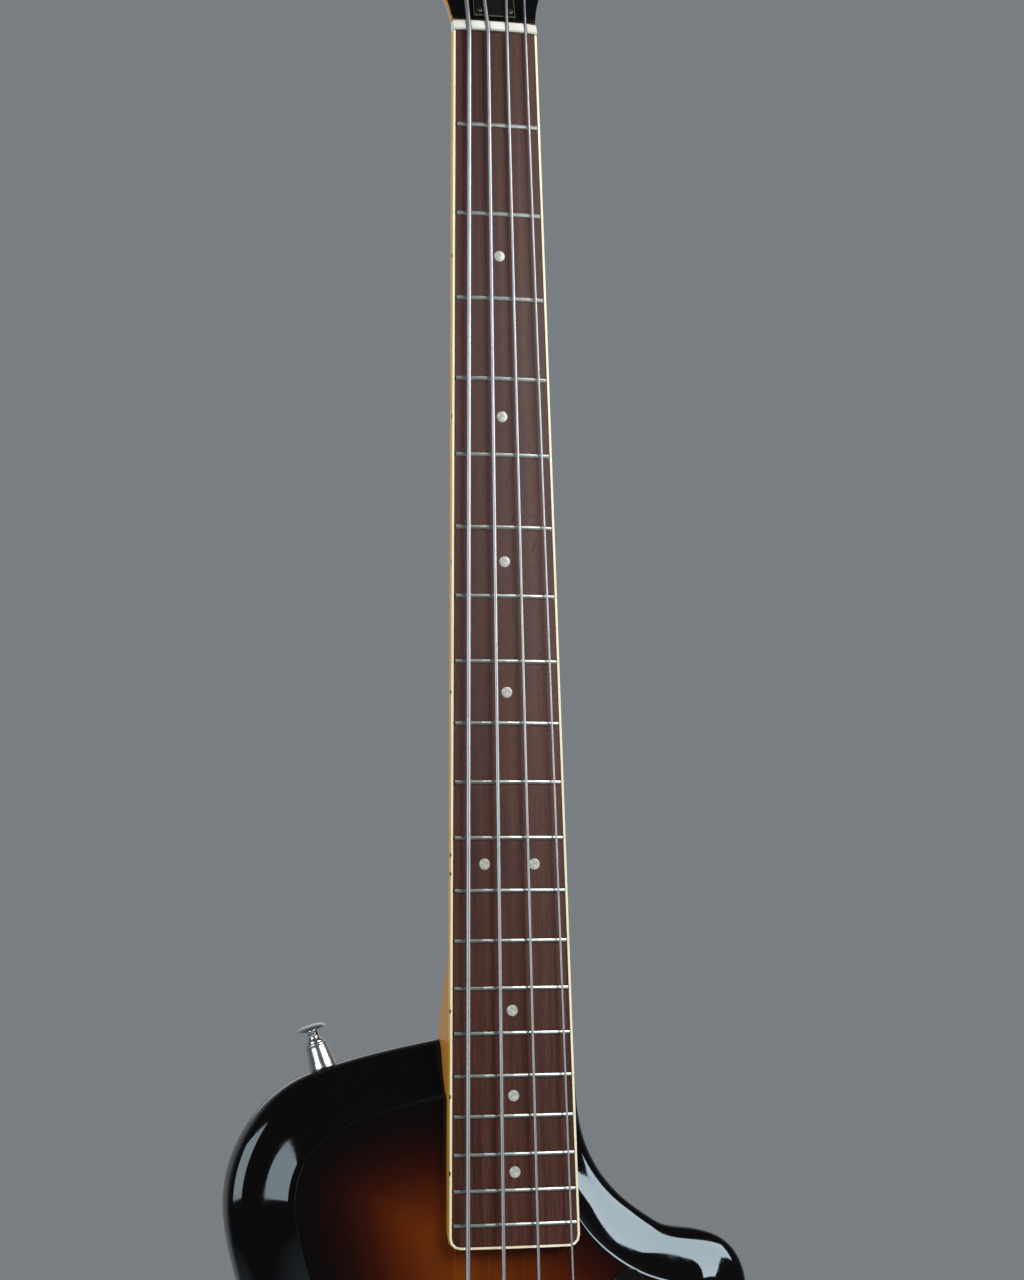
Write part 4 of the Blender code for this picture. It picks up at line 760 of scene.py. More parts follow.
def loft(rings: Sequence[Sequence[Sequence[float]]], capped: bool = True, closed: bool = False) -> Solid:
    """Skin through rings of equal point count.

    Args:
        rings: loops of points, in order.
        capped: whether the first and last loop are filled.
        closed: whether the last loop joins the first.

    Returns:
        The skin as a bmesh.
    """
    solid = bmesh.new()
    loops = [[solid.verts.new(spot) for spot in ring] for ring in rings]
    pairs = list(zip(loops, loops[1:]))
    if closed:
        pairs.append((loops[-1], loops[0]))
    for low, high in pairs:
        for index in range(len(low)):
            after = (index + 1) % len(low)
            solid.faces.new((low[index], low[after], high[after], high[index]))
    if capped and not closed:
        solid.faces.new(loops[0])
        solid.faces.new(loops[-1])
    return solid


def round_turn(count: int) -> list[float]:
    """Angles in even steps round a full turn."""
    return [2 * math.pi * index / count for index in range(count)]


def polar(radius: float, turn: float, height: float) -> Triple:
    """Point at a radius, turn and height about local Z."""
    return (radius * math.cos(turn), radius * math.sin(turn), height)


def lathe(profile: Sequence[Pair], sides: int = 48, closed: bool = False) -> Solid:
    """Skin turned about local Z from pairs of radius and height.

    Args:
        profile: pairs of radius and height.
        sides: number of flats round it.
        closed: whether the profile runs back to its start.

    Returns:
        The skin as a bmesh.
    """
    turns = round_turn(sides)
    rings = [[polar(radius, turn, height) for turn in turns] for radius, height in profile]
    return loft(rings, closed=closed)


def tube(route: Loop, radius: float, sides: int, side: Vector) -> Solid:
    """Round wire along a route.

    Args:
        route: points along its middle.
        radius: radius of the wire.
        sides: number of its flat sides.
        side: direction near which every ring's first point lies.

    Returns:
        The wire as a bmesh.
    """
    rings = []
    for index, spot in enumerate(route):
        run = (route[min(index + 1, len(route) - 1)] - route[max(index - 1, 0)]).normalized()
        side = (side - run * side.dot(run)).normalized()
        other = run.cross(side)
        turns = round_turn(sides)
        rings.append([spot + (side * math.cos(turn) + other * math.sin(turn)) * radius for turn in turns])
    return loft(rings)


def inset(loop: Loop, amount: float) -> Loop:
    """Counter-clockwise loop moved inwards along its corner normals.

    Args:
        loop: points of the outline.
        amount: distance inwards.

    Returns:
        The new points.
    """
    moved = []
    for index, spot in enumerate(loop):
        run = loop[(index + 1) % len(loop)] - loop[index - 1]
        moved.append(spot + Vector((-run.y, run.x)).normalized() * amount)
    return moved


def slab(loop: Loop, levels: Sequence[Pair]) -> Solid:
    """Solid of one outline through pairs of height and inset."""
    return loft([[(spot.x, spot.y, height) for spot in inset(loop, amount)] for height, amount in levels])


def rounded_rectangle(half_width: float, low: float, high: float, corner: float, steps: int = 6) -> Loop:
    """Counter-clockwise rectangle with round corners.

    Args:
        half_width: half of its width, to either side of local Y.
        low: its lower edge.
        high: its upper edge.
        corner: radius of its corners.
        steps: number of flats at each corner.

    Returns:
        The points of its outline.
    """
    spots = []
    right, left, top, bottom = half_width - corner, -half_width + corner, high - corner, low + corner
    for quarter, (across, up) in enumerate(((right, top), (left, top), (left, bottom), (right, bottom))):
        for index in range(steps + 1):
            angle = math.radians(90 * quarter + 90 * index / steps)
            spots.append(Vector((across + corner * math.cos(angle), up + corner * math.sin(angle))))
    return spots


def curve_between(start: Anchor, end: Anchor, steps: int) -> Loop:
    """Curve close to a circular arc from one anchor of place and heading up to the next.

    Args:
        start: anchor that it leaves.
        end: anchor that it stops short of by one step.
        steps: number of its points.

    Returns:
        The points.
    """
    first, last = Vector(start[:2]), Vector(end[:2])
    headings = [math.radians(anchor[2]) for anchor in (start, end)]
    leave, arrive = (Vector((math.cos(heading), math.sin(heading))) for heading in headings)
    chord = last - first
    straight = chord.normalized()
    reach_out, reach_in = (
        chord.length * 2 / 3 / (1 + max(heading.dot(straight), 0.0)) for heading in (leave, arrive)
    )
    second, third = first + leave * reach_out, last - arrive * reach_in
    spots = []
    for index in range(steps):
        share = index / steps
        rest = 1 - share
        near = rest**3 * first + 3 * rest**2 * share * second
        spots.append(near + 3 * rest * share**2 * third + share**3 * last)
    return spots


def smooth_line(anchors: Sequence[Anchor], steps: int) -> Loop:
    """Open curve through anchors, without its last point.

    Args:
        anchors: places with headings in degrees.
        steps: points from one anchor to the next.

    Returns:
        The points.
    """
    spots = []
    for start, end in zip(anchors, anchors[1:]):
        spots += curve_between(start, end, steps)
    return spots


def frame_along(origin: Sequence[float], direction: Sequence[float], reference: Sequence[float]) -> Matrix:
    """Matrix at an origin whose local Z is the direction and whose local X is nearest the reference.

    Args:
        origin: place of the matrix.
        direction: way of its local Z.
        reference: direction near its local X.

    Returns:
        The matrix.
    """
    local_z = Vector(direction).normalized()
    local_y = local_z.cross(Vector(reference)).normalized()
    turn = Matrix((local_y.cross(local_z), local_y, local_z)).transposed().to_4x4()
    return Matrix.Translation(origin) @ turn


def point(across: float, distance: float, depth: float) -> Vector:
    """Point from a distance across, a distance from the nut and a depth."""
    return Vector((across, depth - SIZES.axis_depth, SIZES.nut_height - distance))


def head_frame() -> Matrix:
    """Matrix of the headstock's face: local X across, local Y up the head, local Z out of the face."""
    origin = point(0, -SIZES.nut_length - 2 * SIZES.gap, SIZES.head_depth)
    return Matrix.Translation(origin) @ Matrix.Rotation(math.pi / 2 - SIZES.head_tilt, 4, "X")


def front_frame(across: float, distance: float, depth: float) -> Matrix:
    """Matrix on the front: local X across, local Y up the neck, local Z out of the front."""
    return frame_along(point(across, distance, depth), (0, -1, 0), (1, 0, 0))


def board_surface(across: float) -> float:
    """Depth of the playing surface at a distance across."""
    return SIZES.board_crown + SIZES.board_radius - math.sqrt(SIZES.board_radius**2 - across**2)


def neck_half_width(distance: float) -> float:
    """Half width of the neck, flush with the outside of the binding."""
    return SIZES.board_half_width + SIZES.board_widening * distance + SIZES.gap + SIZES.binding


def end_loss(distance: float) -> float:
    """How much the round corners of the neck's end take off its half width at a distance.

    Args:
        distance: distance from the nut.

    Returns:
        The loss on each side.
    """
    corner = SIZES.neck_corner
    into = distance - (SIZES.neck_length - corner)
    return corner - math.sqrt(max(corner**2 - into**2, 0.0)) if into > 0 else 0.0


def end_stations() -> list[float]:
    """Distances that follow the round corners of the neck's end."""
    corner = SIZES.neck_corner
    return [SIZES.neck_length - corner + corner * math.sin(math.radians(15 * index)) for index in range(7)]


def blend(value: float, low: float, high: float) -> float:
    """Smooth step from 0 at low to 1 at high."""
    share = min(max((value - low) / (high - low), 0.0), 1.0)
    return share * share * (3 - 2 * share)


def outward_mesh(name: str, solid: Solid) -> bpy.types.Mesh:
    """Mesh with its faces outwards from a bmesh, which is used up.

    Args:
        name: name of the mesh.
        solid: the bmesh.

    Returns:
        The mesh.
    """
    bmesh.ops.recalc_face_normals(solid, faces=solid.faces)
    mesh = bpy.data.meshes.new(name)
    solid.to_mesh(mesh)
    solid.free()
    return mesh


def store(mesh: bpy.types.Mesh, name: str, values: np.ndarray) -> None:
    """Stores a number for each point of a mesh under a name."""
    mesh.attributes.new(name, "FLOAT", "POINT").data.foreach_set("value", values.astype(np.float32))


class Piece:
    """One visible piece on its way from a bmesh to a dressed object."""

    def __init__(self, name: str, solid: Solid, finish: Finish, frame: Matrix = Matrix()) -> None:
        """Places a solid as an object.

        Args:
            name: name of the piece.
            solid: its mesh in local coordinates, which is used up.
            finish: its surface.
            frame: its place in the model's frame.
        """
        self.finish = finish
        self.item = add_object(name, outward_mesh(name, solid), frame)
        self.item.data.materials.append(finish.material())

    def combine(self, change: Change, solids: Sequence[Placed]) -> Piece:
        """Joins solids to the piece, or cuts them out of it, for good.

        Args:
            change: which of the two.
            solids: meshes with their places.

        Returns:
            The piece.
        """
        tools = []
        for solid, frame in solids:
            tool = add_object("tool", outward_mesh("tool", solid), frame)
            modifier = self.item.modifiers.new("change", "BOOLEAN")
            modifier.operation = change.value
            modifier.object = tool
            modifier.solver = "EXACT"
            tools.append(tool)
        bpy.context.view_layer.update()
        graph = bpy.context.evaluated_depsgraph_get()
        mesh = bpy.data.meshes.new_from_object(self.item.evaluated_get(graph))
        self.item.modifiers.clear()
        self.item.data = mesh
        for tool in tools:
            bpy.data.objects.remove(tool, do_unlink=True)
        return self

    def at(self, frame: Matrix) -> Piece:
        """Moves the piece to a frame."""
        self.item.matrix_world = frame
        return self

    def done(self, body: str = INSTRUMENT, replaces: Sequence[str] = (), sharp: float = 35) -> None:
        """Finishes the piece.

        Args:
            body: the moving body it belongs to.
            replaces: CAD nodes it stands for.
            sharp: angle in degrees above which an edge stays sharp.
        """
        self.item.data.shade_smooth()
        self.item.data.set_sharp_from_angle(angle=math.radians(sharp))
        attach(self.item, body)
        if replaces:
            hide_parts(*replaces)
        LOG.info("%s: %d faces on %s", self.item.name, len(self.item.data.polygons), body)


# Body


@dataclass(frozen=True)
class BodySizes:
    """Outlines of the body, as anchors of place and heading from the saddles, and its depths."""

    edge: tuple[Anchor, ...] = (
        (-0.0300, -0.3610, 190), (-0.0804, -0.3500, 196), (-0.1051, -0.3402, 212), (-0.1227, -0.3230, 235),
        (-0.1356, -0.2840, 270), (-0.1297, -0.2487, 285), (-0.1080, -0.1720, 271), (-0.1600, -0.0460, 270),
        (-0.0920, 0.0660, 340), (0.0000, 0.0830, 0), (0.1000, 0.0700, 17), (0.1720, -0.0220, 90),
        (0.0990, -0.1680, 90), (0.1242, -0.2340, 90), (0.1156, -0.2575, 135), (0.0943, -0.2663, 172),
        (0.0773, -0.2705, 148), (0.0547, -0.2885, 131), (0.0424, -0.3097, 109), (0.0379, -0.3400, 93),
        (0.0366, -0.3535, 92), (0.0300, -0.3608, 178),
    )
    top: tuple[Anchor, ...] = (
        (-0.0250, -0.3340, 191), (-0.0729, -0.3237, 198), (-0.0893, -0.3153, 215), (-0.0992, -0.3069, 235),
        (-0.1059, -0.2840, 270), (-0.1012, -0.2565, 284), (-0.0800, -0.1720, 271), (-0.1320, -0.0460, 270),
        (-0.0824, 0.0397, 340), (0.0000, 0.0550, 0), (0.0918, 0.0432, 17), (0.1440, -0.0220, 90),
        (0.0710, -0.1680, 90), (0.0972, -0.2310, 90), (0.0958, -0.2370, 135), (0.0905, -0.2396, 165),
        (0.0635, -0.2480, 153), (0.0358, -0.2716, 124), (0.0180, -0.2990, 112), (0.0120, -0.3220, 100),
        (0.0085, -0.3305, 130), (0.0040, -0.3330, 178),
    )
    section: tuple[Pair, ...] = (
        (-0.070, 0.0), (-0.050, 0.0030), (-0.030, 0.0090), (-0.012, 0.0180), (0.006, 0.0340), (0.030, 0.0750),
        (0.07, 0.142), (0.12, 0.212), (0.18, 0.278), (0.25, 0.345), (0.33, 0.412), (0.42, 0.478),
        (0.51, 0.534), (0.60, 0.582), (0.69, 0.624), (0.77, 0.662), (0.83, 0.700), (0.88, 0.744),
        (0.92, 0.790), (0.955, 0.845), (0.98, 0.905), (0.995, 0.965), (1.0, 1.0),
    )
    steps: int = 12
    lip_depth: float = 0.0254
    back_round: float = 0.0060
    burst_reach: float = 0.120
    treble_fade: Triple = (0.018, -0.035, 0.025)
    bass_overlap: float = 0.12
    overlap_turn: Pair = (0.005, 0.035)
    spine: Pair = (-0.290, 0.010)
    fill_shares: tuple[float, ...] = (0.07, 0.12, 0.18, 0.27, 0.37, 0.48, 0.60, 0.72, 0.85, 1.0)
    pickup_rout: Triple = (0.0285, 0.0145, 0.022)
    rout_depth: float = 0.036


class Body:
    """Carved solid body with its burst."""

    def __init__(self, sizes: BodySizes = BodySizes()) -> None:
        """Keeps the sizes and traces the outlines of the edge and of the flat top."""
        self.sizes = sizes
        self.edge, self.top = (self.outline(anchors) for anchors in (sizes.edge, sizes.top))

    def outline(self, anchors: Sequence[Anchor]) -> Loop:
        """Closed curve through anchors, whose distances beyond the saddles become heights."""
        upright = [(across, SIZES.saddle_height - beyond, heading) for across, beyond, heading in anchors]
        return smooth_line(upright + upright[:1], self.sizes.steps)

    def fill(self, loop: Loop, y: float) -> list[Loop]:
        """Rings that close a flat face towards a line up its middle.

        Args:
            loop: outline of the face.
            y: place of the face from front to back.

        Returns:
            The rings, from the outline inwards.
        """
        low, high = (SIZES.saddle_height - beyond for beyond in reversed(self.sizes.spine))
        rings = []
        for share in self.sizes.fill_shares:
            places = [spot.lerp(Vector((0.0, min(max(spot.y, low), high))), share) for spot in loop]
            rings.append([Vector((place.x, y, place.y)) for place in places])
        return rings

    def rings(self) -> list[Loop]:
        """Rings from the middle of the top, over the carve and side, to the middle of the back.

        Returns:
            The rings.
        """
        sizes = self.sizes
        front, behind = SIZES.top_depth - SIZES.axis_depth, SIZES.back_depth - SIZES.axis_depth
        rings = list(reversed(self.fill(self.top, front)))
        for width_share, fall_share in sizes.section:
            y = SIZES.top_depth + (sizes.lip_depth - SIZES.top_depth) * fall_share - SIZES.axis_depth
            ring = []
            for inner, outer in zip(self.top, self.edge):
                overlap = sizes.bass_overlap
                overlap += (1 - overlap) * blend(inner.x, *sizes.overlap_turn)
                spot = inner.lerp(outer, width_share * overlap if width_share < 0 else width_share)
                ring.append(Vector((spot.x, y, spot.y)))
            rings.append(ring)
        for degrees in range(0, 91, 15):
            turn = math.radians(degrees)
            y = SIZES.back_depth - sizes.back_round * (1 - math.sin(turn)) - SIZES.axis_depth
            back = inset(self.edge, sizes.back_round * (1 - math.cos(turn)))
            rings.append([Vector((spot.x, y, spot.y)) for spot in back])
        return rings + self.fill(back, behind)

    def cutters(self) -> list[Placed]:
        """Neck pocket and the routs under the guard.

        Returns:
            Solids with their places.
        """
        low = -SIZES.axis_depth - SIZES.cutter_rise
        high = SIZES.heel_depth + SIZES.gap - SIZES.axis_depth
        rings = []
        for distance in [SIZES.heel_full - 0.02] + end_stations():
            half = neck_half_width(distance) - end_loss(distance) + SIZES.gap
            z = SIZES.nut_height - distance - SIZES.gap
            rings.append([(-half, low, z), (half, low, z), (half, high, z), (-half, high, z)])
        tools = [(loft(rings), Matrix())]
        half_width, half_height, depth = self.sizes.pickup_rout
        for across, distance in SIZES.pickups:
            outline = rounded_rectangle(half_width, -half_height, half_height, 0.004)
            rout = slab(outline, ((-depth, 0), (SIZES.cutter_rise, 0)))
            tools.append((rout, front_frame(across, distance, 0)))
        tools.append(self.slot(SIZES.volume, SIZES.tone, 0.0145))
        tools.append(self.slot(SIZES.tone, SIZES.jack, 0.0105))
        return tools

    def slot(self, first: Pair, last: Pair, radius: float) -> Placed:
        """Deep round-ended rout between two places on the front.

        Args:
            first: place of one end.
            last: place of the other end.
            radius: half of its width.

        Returns:
            The rout's solid with its place.
        """
        start, end = (Vector((across, SIZES.nut_height - distance)) for across, distance in (first, last))
        half = (end - start).length / 2 + radius
        middle = (start + end) / 2
        run = (end - start).normalized()
        frame = frame_along((middle.x, -SIZES.axis_depth, middle.y), (0, -1, 0), (run.y, 0, -run.x))
        outline = rounded_rectangle(radius, -half, half, radius * 0.98)
        return slab(outline, ((-self.sizes.rout_depth, 0), (SIZES.cutter_rise, 0))), frame

    def paint_burst(self, mesh: bpy.types.Mesh) -> None:
        """Stores how far each point of the flat faces lies inside their edge, as a share.

        Args:
            mesh: mesh of the body.
        """
        spots = np.empty(len(mesh.vertices) * 3)
        mesh.vertices.foreach_get("co", spots)
        spots = spots.reshape(-1, 3)
        shares = np.zeros(len(spots))
        extra, near, far = self.sizes.treble_fade
        back_loop = inset(self.edge, self.sizes.back_round)
        for depth, outline in ((SIZES.top_depth, self.top), (SIZES.back_depth, back_loop)):
            start = np.array([tuple(spot) for spot in outline])
            run = np.roll(start, -1, axis=0) - start
            length = np.maximum((run**2).sum(1), 1e-12)
            for index in np.nonzero(np.abs(spots[:, 1] - (depth - SIZES.axis_depth)) < 1e-5)[0]:
                reach = spots[index, (0, 2)] - start
                along = np.clip((reach * run).sum(1) / length, 0, 1)
                gap = np.sqrt(((reach - run * along[:, None]) ** 2).sum(1)).min()
                gap += extra * blend(spots[index, 0], near, far)
                shares[index] = gap / self.sizes.burst_reach
        store(mesh, "burst", shares)

    def build(self) -> None:
        """Makes the body."""
        solid = loft(self.rings(), capped=False)
        bmesh.ops.remove_doubles(solid, verts=solid.verts, dist=1e-6)
        piece = Piece("burst_body", solid, SUNBURST).combine(Change.CUT, self.cutters())
        self.paint_burst(piece.item.data)
        piece.done(replaces=["body"], sharp=28)


# Neck and fingerboard


@dataclass(frozen=True)
class HeadSizes:
    """Right half of the headstock's outline from its foot to its tip, and its details."""

    half_outline: tuple[Anchor, ...] = (
        (0.0216, 0.0000, 84), (0.0243, 0.0140, 72), (0.0345, 0.0420, 75), (0.0362, 0.0620, 95),
        (0.0300, 0.1150, 93), (0.0315, 0.1650, 84), (0.0250, 0.1990, 150), (0.0000, 0.2080, 180),
    )
    start: float = 0.0012
    thickness: float = 0.0160
    face_bevel: float = 0.0008
    back_bevel: float = 0.0015
    back_narrowing: tuple[Pair, ...] = (
        (-0.0120, 0.0034), (-0.0095, 0.0018), (-0.0070, 0.0007), (-0.0045, 0.0002), (-0.0025, 0.0),
    )
    bevel_share: float = 0.3
    bevel_narrowing: Triple = (0.0100, 0.0080, 0.0058)
    narrowing_reach: Pair = (0.012, 0.048)
    bore: float = 0.0051
    bore_depth: float = 0.020
    pocket: tuple[float, ...] = (0.0055, 0.0032, 0.0300, 0.0030)
    pocket_depth: float = 0.0126
    channel: tuple[Pair, ...] = ((-0.0028, 0.0035), (0.0028, 0.0035), (0.0028, 0.0126), (-0.0028, 0.0126))
    channel_ends: Pair = (-0.0120, 0.5553)


@dataclass(frozen=True)
class Neck:
    """Neck with heel and tilted headstock, whose face is black."""

    head: HeadSizes = HeadSizes()
    arc_points: int = 33
    heel_stations: int = 12
    relief: float = 0.0004
    back_at_nut: float = 0.0195
    back_growth: float = 0.0035
    side_depth: float = 0.0055
    heel_rounding: float = 0.0085
    foot: float = -0.0170
    foot_narrowing: float = 0.0035
    foot_levels: Triple = (0.0090, 0.0095, 0.0203)
    last_station: float = 0.55
    end_gap: float = 0.0001

    def section(self, distance: float) -> Loop:
        """Ring of the neck: flat glue face, straight sides and round back.

        Args:
            distance: distance from the nut.

        Returns:
            The ring's points.
        """
        heel = blend(distance, SIZES.heel_start, SIZES.heel_full)
        half = neck_half_width(distance) - end_loss(distance) - self.relief * (1 - heel)
        slope = self.back_at_nut + self.back_growth * distance / SIZES.heel_start
        back = slope + (SIZES.heel_depth - slope) * heel
        side = self.side_depth + (SIZES.heel_depth - self.heel_rounding) * heel**1.5
        return self.ring(distance, half, side, back, 2 / (2 + 2 * heel), SIZES.board_back + SIZES.gap)

    def ring(self, distance: float, half: float, side: float, back: float, power: float, top: float) -> Loop:
        """Ring of a flat top over a rounded back.

        Args:
            distance: its distance from the nut.
            half: its half width.
            side: depth at which the straight sides end.
            back: its greatest depth.
            power: 1 for an ellipse, less for a squarer back.
            top: depth of the flat top.

        Returns:
            The ring's points.
        """
        spots = [point(half, distance, top)]
        for index in range(self.arc_points):
            angle = math.pi * index / (self.arc_points - 1)
            across = half * math.copysign(abs(math.cos(angle)) ** power, math.cos(angle))
            spots.append(point(across, distance, side + (back - side) * abs(math.sin(angle)) ** power))
        return spots + [point(-half, distance, top)]

    def stations(self) -> list[float]:
        """Distances of the neck's rings.

        Returns:
            The distances from the nut.
        """
        count, start, full = self.heel_stations, SIZES.heel_start, SIZES.heel_full
        places = [-SIZES.nut_length - 2 * SIZES.gap]
        places += [start * index / count for index in range(1, count + 1)]
        places += [start + (full - start) * index / count for index in range(1, count + 1)]
        return places + [self.last_station] + end_stations()[:-1] + [SIZES.neck_length - self.end_gap]

    def build(self) -> None:
        """Makes the neck."""
        half = neck_half_width(0) - self.foot_narrowing
        top, side, back = self.foot_levels
        rings = [self.ring(self.foot, half, side, back, 1.0, top)]
        rings += [self.section(distance) for distance in self.stations()]
        piece = Piece("maple_neck", loft(rings), MAPLE)
        piece.combine(Change.JOIN, [(self.blank(), head_frame())])
        piece.combine(Change.CUT, self.cutters())
        self.black_face(piece.item.data)
        piece.done(replaces=["neck"])

    def blank(self) -> Solid:
        """Flat blank of the headstock, whose back narrows towards the nut.

        Returns:
            The blank in the frame of the headstock's face.
        """
        head = self.head
        right = smooth_line(head.half_outline, 10) + [Vector(head.half_outline[-1][:2])]
        whole = right + [Vector((-spot.x, spot.y)) for spot in reversed(right) if spot.x > 1e-6]
        whole = [spot for spot in whole if not 1e-6 < spot.y < head.start + head.back_bevel]
        outline = [Vector((spot.x, max(spot.y, head.start))) for spot in whole]
        share = head.bevel_share
        first, second, third = head.bevel_narrowing
        levels = [
            (-head.thickness, head.back_bevel, first),
            (-head.thickness + head.back_bevel * share, head.back_bevel * share, second),
            (-head.thickness + head.back_bevel, 0, third),
        ]
        levels += [(height, 0, narrowing) for height, narrowing in head.back_narrowing]
        levels += [(-head.face_bevel, 0, 0), (-head.face_bevel * share, head.face_bevel * share, 0)]
        levels.append((0, head.face_bevel, 0))
        rings = []
        for height, amount, narrowing in levels:
            ring = []
            for spot in inset(outline, amount):
                part = 1 - blend(spot.y, *head.narrowing_reach)
                shift = narrowing * part * spot.x / head.half_outline[0][0]
                ring.append((spot.x - shift, spot.y, height))
            rings.append(ring)
        return loft(rings)

    def cutters(self) -> list[Placed]:
        """Rod channel, rod pocket and tuner bores.

        Returns:
            Solids with their places.
        """
        head = self.head
        rings = [[point(across, end, depth) for across, depth in head.channel] for end in head.channel_ends]
        pocket = rounded_rectangle(*head.pocket)
        tools = [(loft(rings), Matrix())]
        tools.append((slab(pocket, ((-head.pocket_depth, 0), (SIZES.cutter_rise, 0))), head_frame()))
        for tuner in TUNERS:
            hole = lathe(((head.bore, -head.bore_depth), (head.bore, SIZES.cutter_rise)))
            tools.append((hole, tuner.frame()))
        return tools

    def black_face(self, mesh: bpy.types.Mesh) -> None:
        """Gives the headstock's face its black lacquer.

        Args:
            mesh: mesh of the neck.
        """
        mesh.materials.append(BLACK_LACQUER.material())
        inverse = head_frame().inverted()
        out = head_frame().to_3x3() @ Vector((0, 0, 1))
        for face in mesh.polygons:
            place = inverse @ face.center
            if place.z > -self.head.face_bevel - 1e-5 and face.normal.dot(out) > 0.3 and place.y > 0:
                face.material_index = 1


@dataclass(frozen=True)
class Board:
    """Details on the fingerboard: position dots and side dots."""

    dots: tuple[int, ...] = (3, 5, 7, 9, 12, 15, 17, 19)
    dot_radius: float = 0.0027
    pair_spread: float = 0.0125
    side_radius: float = 0.0012
    side_spread: float = 0.0045
    side_depth: float = 0.0014
    sunk: float = -0.0002
    flush: float = 0.00002
    proud: float = 0.00006

    def build(self) -> None:
        """Sets the dots in the board and the binding."""
        radius = self.dot_radius
        face = ((radius, self.sunk), (radius, self.flush), (radius * 0.9, self.proud))
        side = ((self.side_radius, self.sunk), (self.side_radius, self.proud))
        for number in self.dots:
            signs = (-1, 1) if number == 12 else (0,)
            middle = (fret_distance(number - 1) + fret_distance(number)) / 2
            for index, sign in enumerate(signs):
                across = sign * self.pair_spread
                frame = front_frame(across, middle, board_surface(across))
                Piece(f"position_dot_{number:02d}_{index}", lathe(face, 40), PEARL, frame).done()
            for index, sign in enumerate(signs):
                distance = middle + sign * self.side_spread
                place = point(-neck_half_width(distance), distance, self.side_depth)
                frame = frame_along(place, (-1, 0, SIZES.board_widening), (0, 0, 1))
                Piece(f"side_dot_{number:02d}_{index}", lathe(side, 20), SIDE_DOT, frame).done()


# Strings


@dataclass(frozen=True)
class StringSizes:
    """One string: its name, order across, thickness, turns and tuner."""

    name: str
    order: float
    diameter: float
    turns: float
    tuner: int
    nut_end: tuple[float, ...] = (0.0, 0.0098, 0.0005, 0.0014)
    saddle_end: tuple[float, ...] = (1.0, 0.0204, 0.0015, 0.0044)
    post_waist: float = 0.0040
    post_gap: float = 0.00035
    lowest_turn: float = 0.0062
    turn_gap: float = 0.0005
    steps_per_turn: int = 48

    def at(self, share: float) -> Vector:
        """Middle of the string at a share of the way from nut to saddle.

        Args:
            share: 0 at the nut and 1 at the saddle.

        Returns:
            The point.
        """
        ends = []
        for end, spacing, centre, lift in (self.nut_end, self.saddle_end):
            across = centre + spacing * self.order
            ends.append(point(across, SIZES.scale * end, board_surface(across) - lift - self.diameter / 2))
        return ends[0].lerp(ends[1], share)

    def winding(self) -> Loop:
        """Points of its turns round the post, from the lowest up.

        Returns:
            The points in the model's frame.
        """
        tuner = TUNERS[self.tuner]
        head = head_frame()
        nut_spot = head.inverted() @ self.at(0)
        from_post = Vector((nut_spot.x - tuner.across, nut_spot.y - tuner.up))
        radius = self.post_waist + self.post_gap + self.diameter / 2
        turning = -tuner.side
        first = math.atan2(from_post.y, from_post.x) + turning * math.acos(radius / from_post.length)
        spots = []
        for index in range(round(self.turns * self.steps_per_turn) + 1):
            turn = index / self.steps_per_turn
            angle = first + turning * 2 * math.pi * turn
            across = tuner.across + radius * math.cos(angle)
            up = tuner.up + radius * math.sin(angle)
            rise = self.lowest_turn + (self.diameter + self.turn_gap) * turn
            spots.append(head @ Vector((across, up, rise)))
        return spots


STRINGS = (
    StringSizes("e", -1.5, 0.0024, 2.5, 0),
    StringSizes("a", -0.5, 0.0020, 2.5, 1),
    StringSizes("d", 0.5, 0.0015, 3.0, 2),
    StringSizes("g", 1.5, 0.00115, 3.0, 3),
)


@dataclass(frozen=True)
class StringSet:
    """The four strings with their ball ends."""

    sides: int = 20
    anchor_depth: float = -0.0010
    ball_gap: float = 0.0002
    bend_behind: float = 0.0090
    skin: float = 0.00001
    ball: tuple[Pair, ...] = (
        (0.0010, 0.0), (0.0019, 0.0003), (0.0020, 0.0008), (0.0020, 0.0022), (0.0017, 0.0028),
        (0.0009, 0.0030), (0.0007, 0.0026),
    )

    def route(self, string: StringSizes) -> Loop:
        """Middle line from the ball end to the end of the turns.

        Args:
            string: sizes of its string.

        Returns:
            The points.
        """
        start = point(string.at(1).x, SIZES.bridge_back + SIZES.gap + self.ball_gap, self.anchor_depth)
        bend = string.at(1 + self.bend_behind / SIZES.scale)
        low = [start.lerp(bend, index / 8) for index in range(8)]
        span = [bend.lerp(string.at(0), index / 60) for index in range(61)]
        turns = string.winding()
        lead = [string.at(0).lerp(turns[0], index / 6) for index in range(1, 6)]
        return low + span + lead + turns

    def build(self) -> None:
        """Makes the strings."""
        for string in STRINGS:
            route = self.route(string)
            solid = tube(route, string.diameter / 2 - self.skin, self.sides, Vector((1, 0, 0)))
            piece = Piece("string_wrap_" + string.name, solid, WOUND)
            lengths = [0.0]
            for before, after in zip(route, route[1:]):
                lengths.append(lengths[-1] + (after - before).length)
            store(piece.item.data, "along", np.repeat(lengths, self.sides))
            piece.done(replaces=["string_" + string.name], sharp=60)
            place = point(string.at(1).x, SIZES.bridge_back + SIZES.gap, self.anchor_depth)
            frame = frame_along(place, (0, 0, -1), (1, 0, 0))
            Piece("ball_end_" + string.name, lathe(self.ball, 32), BRASS, frame).done()


# Screws


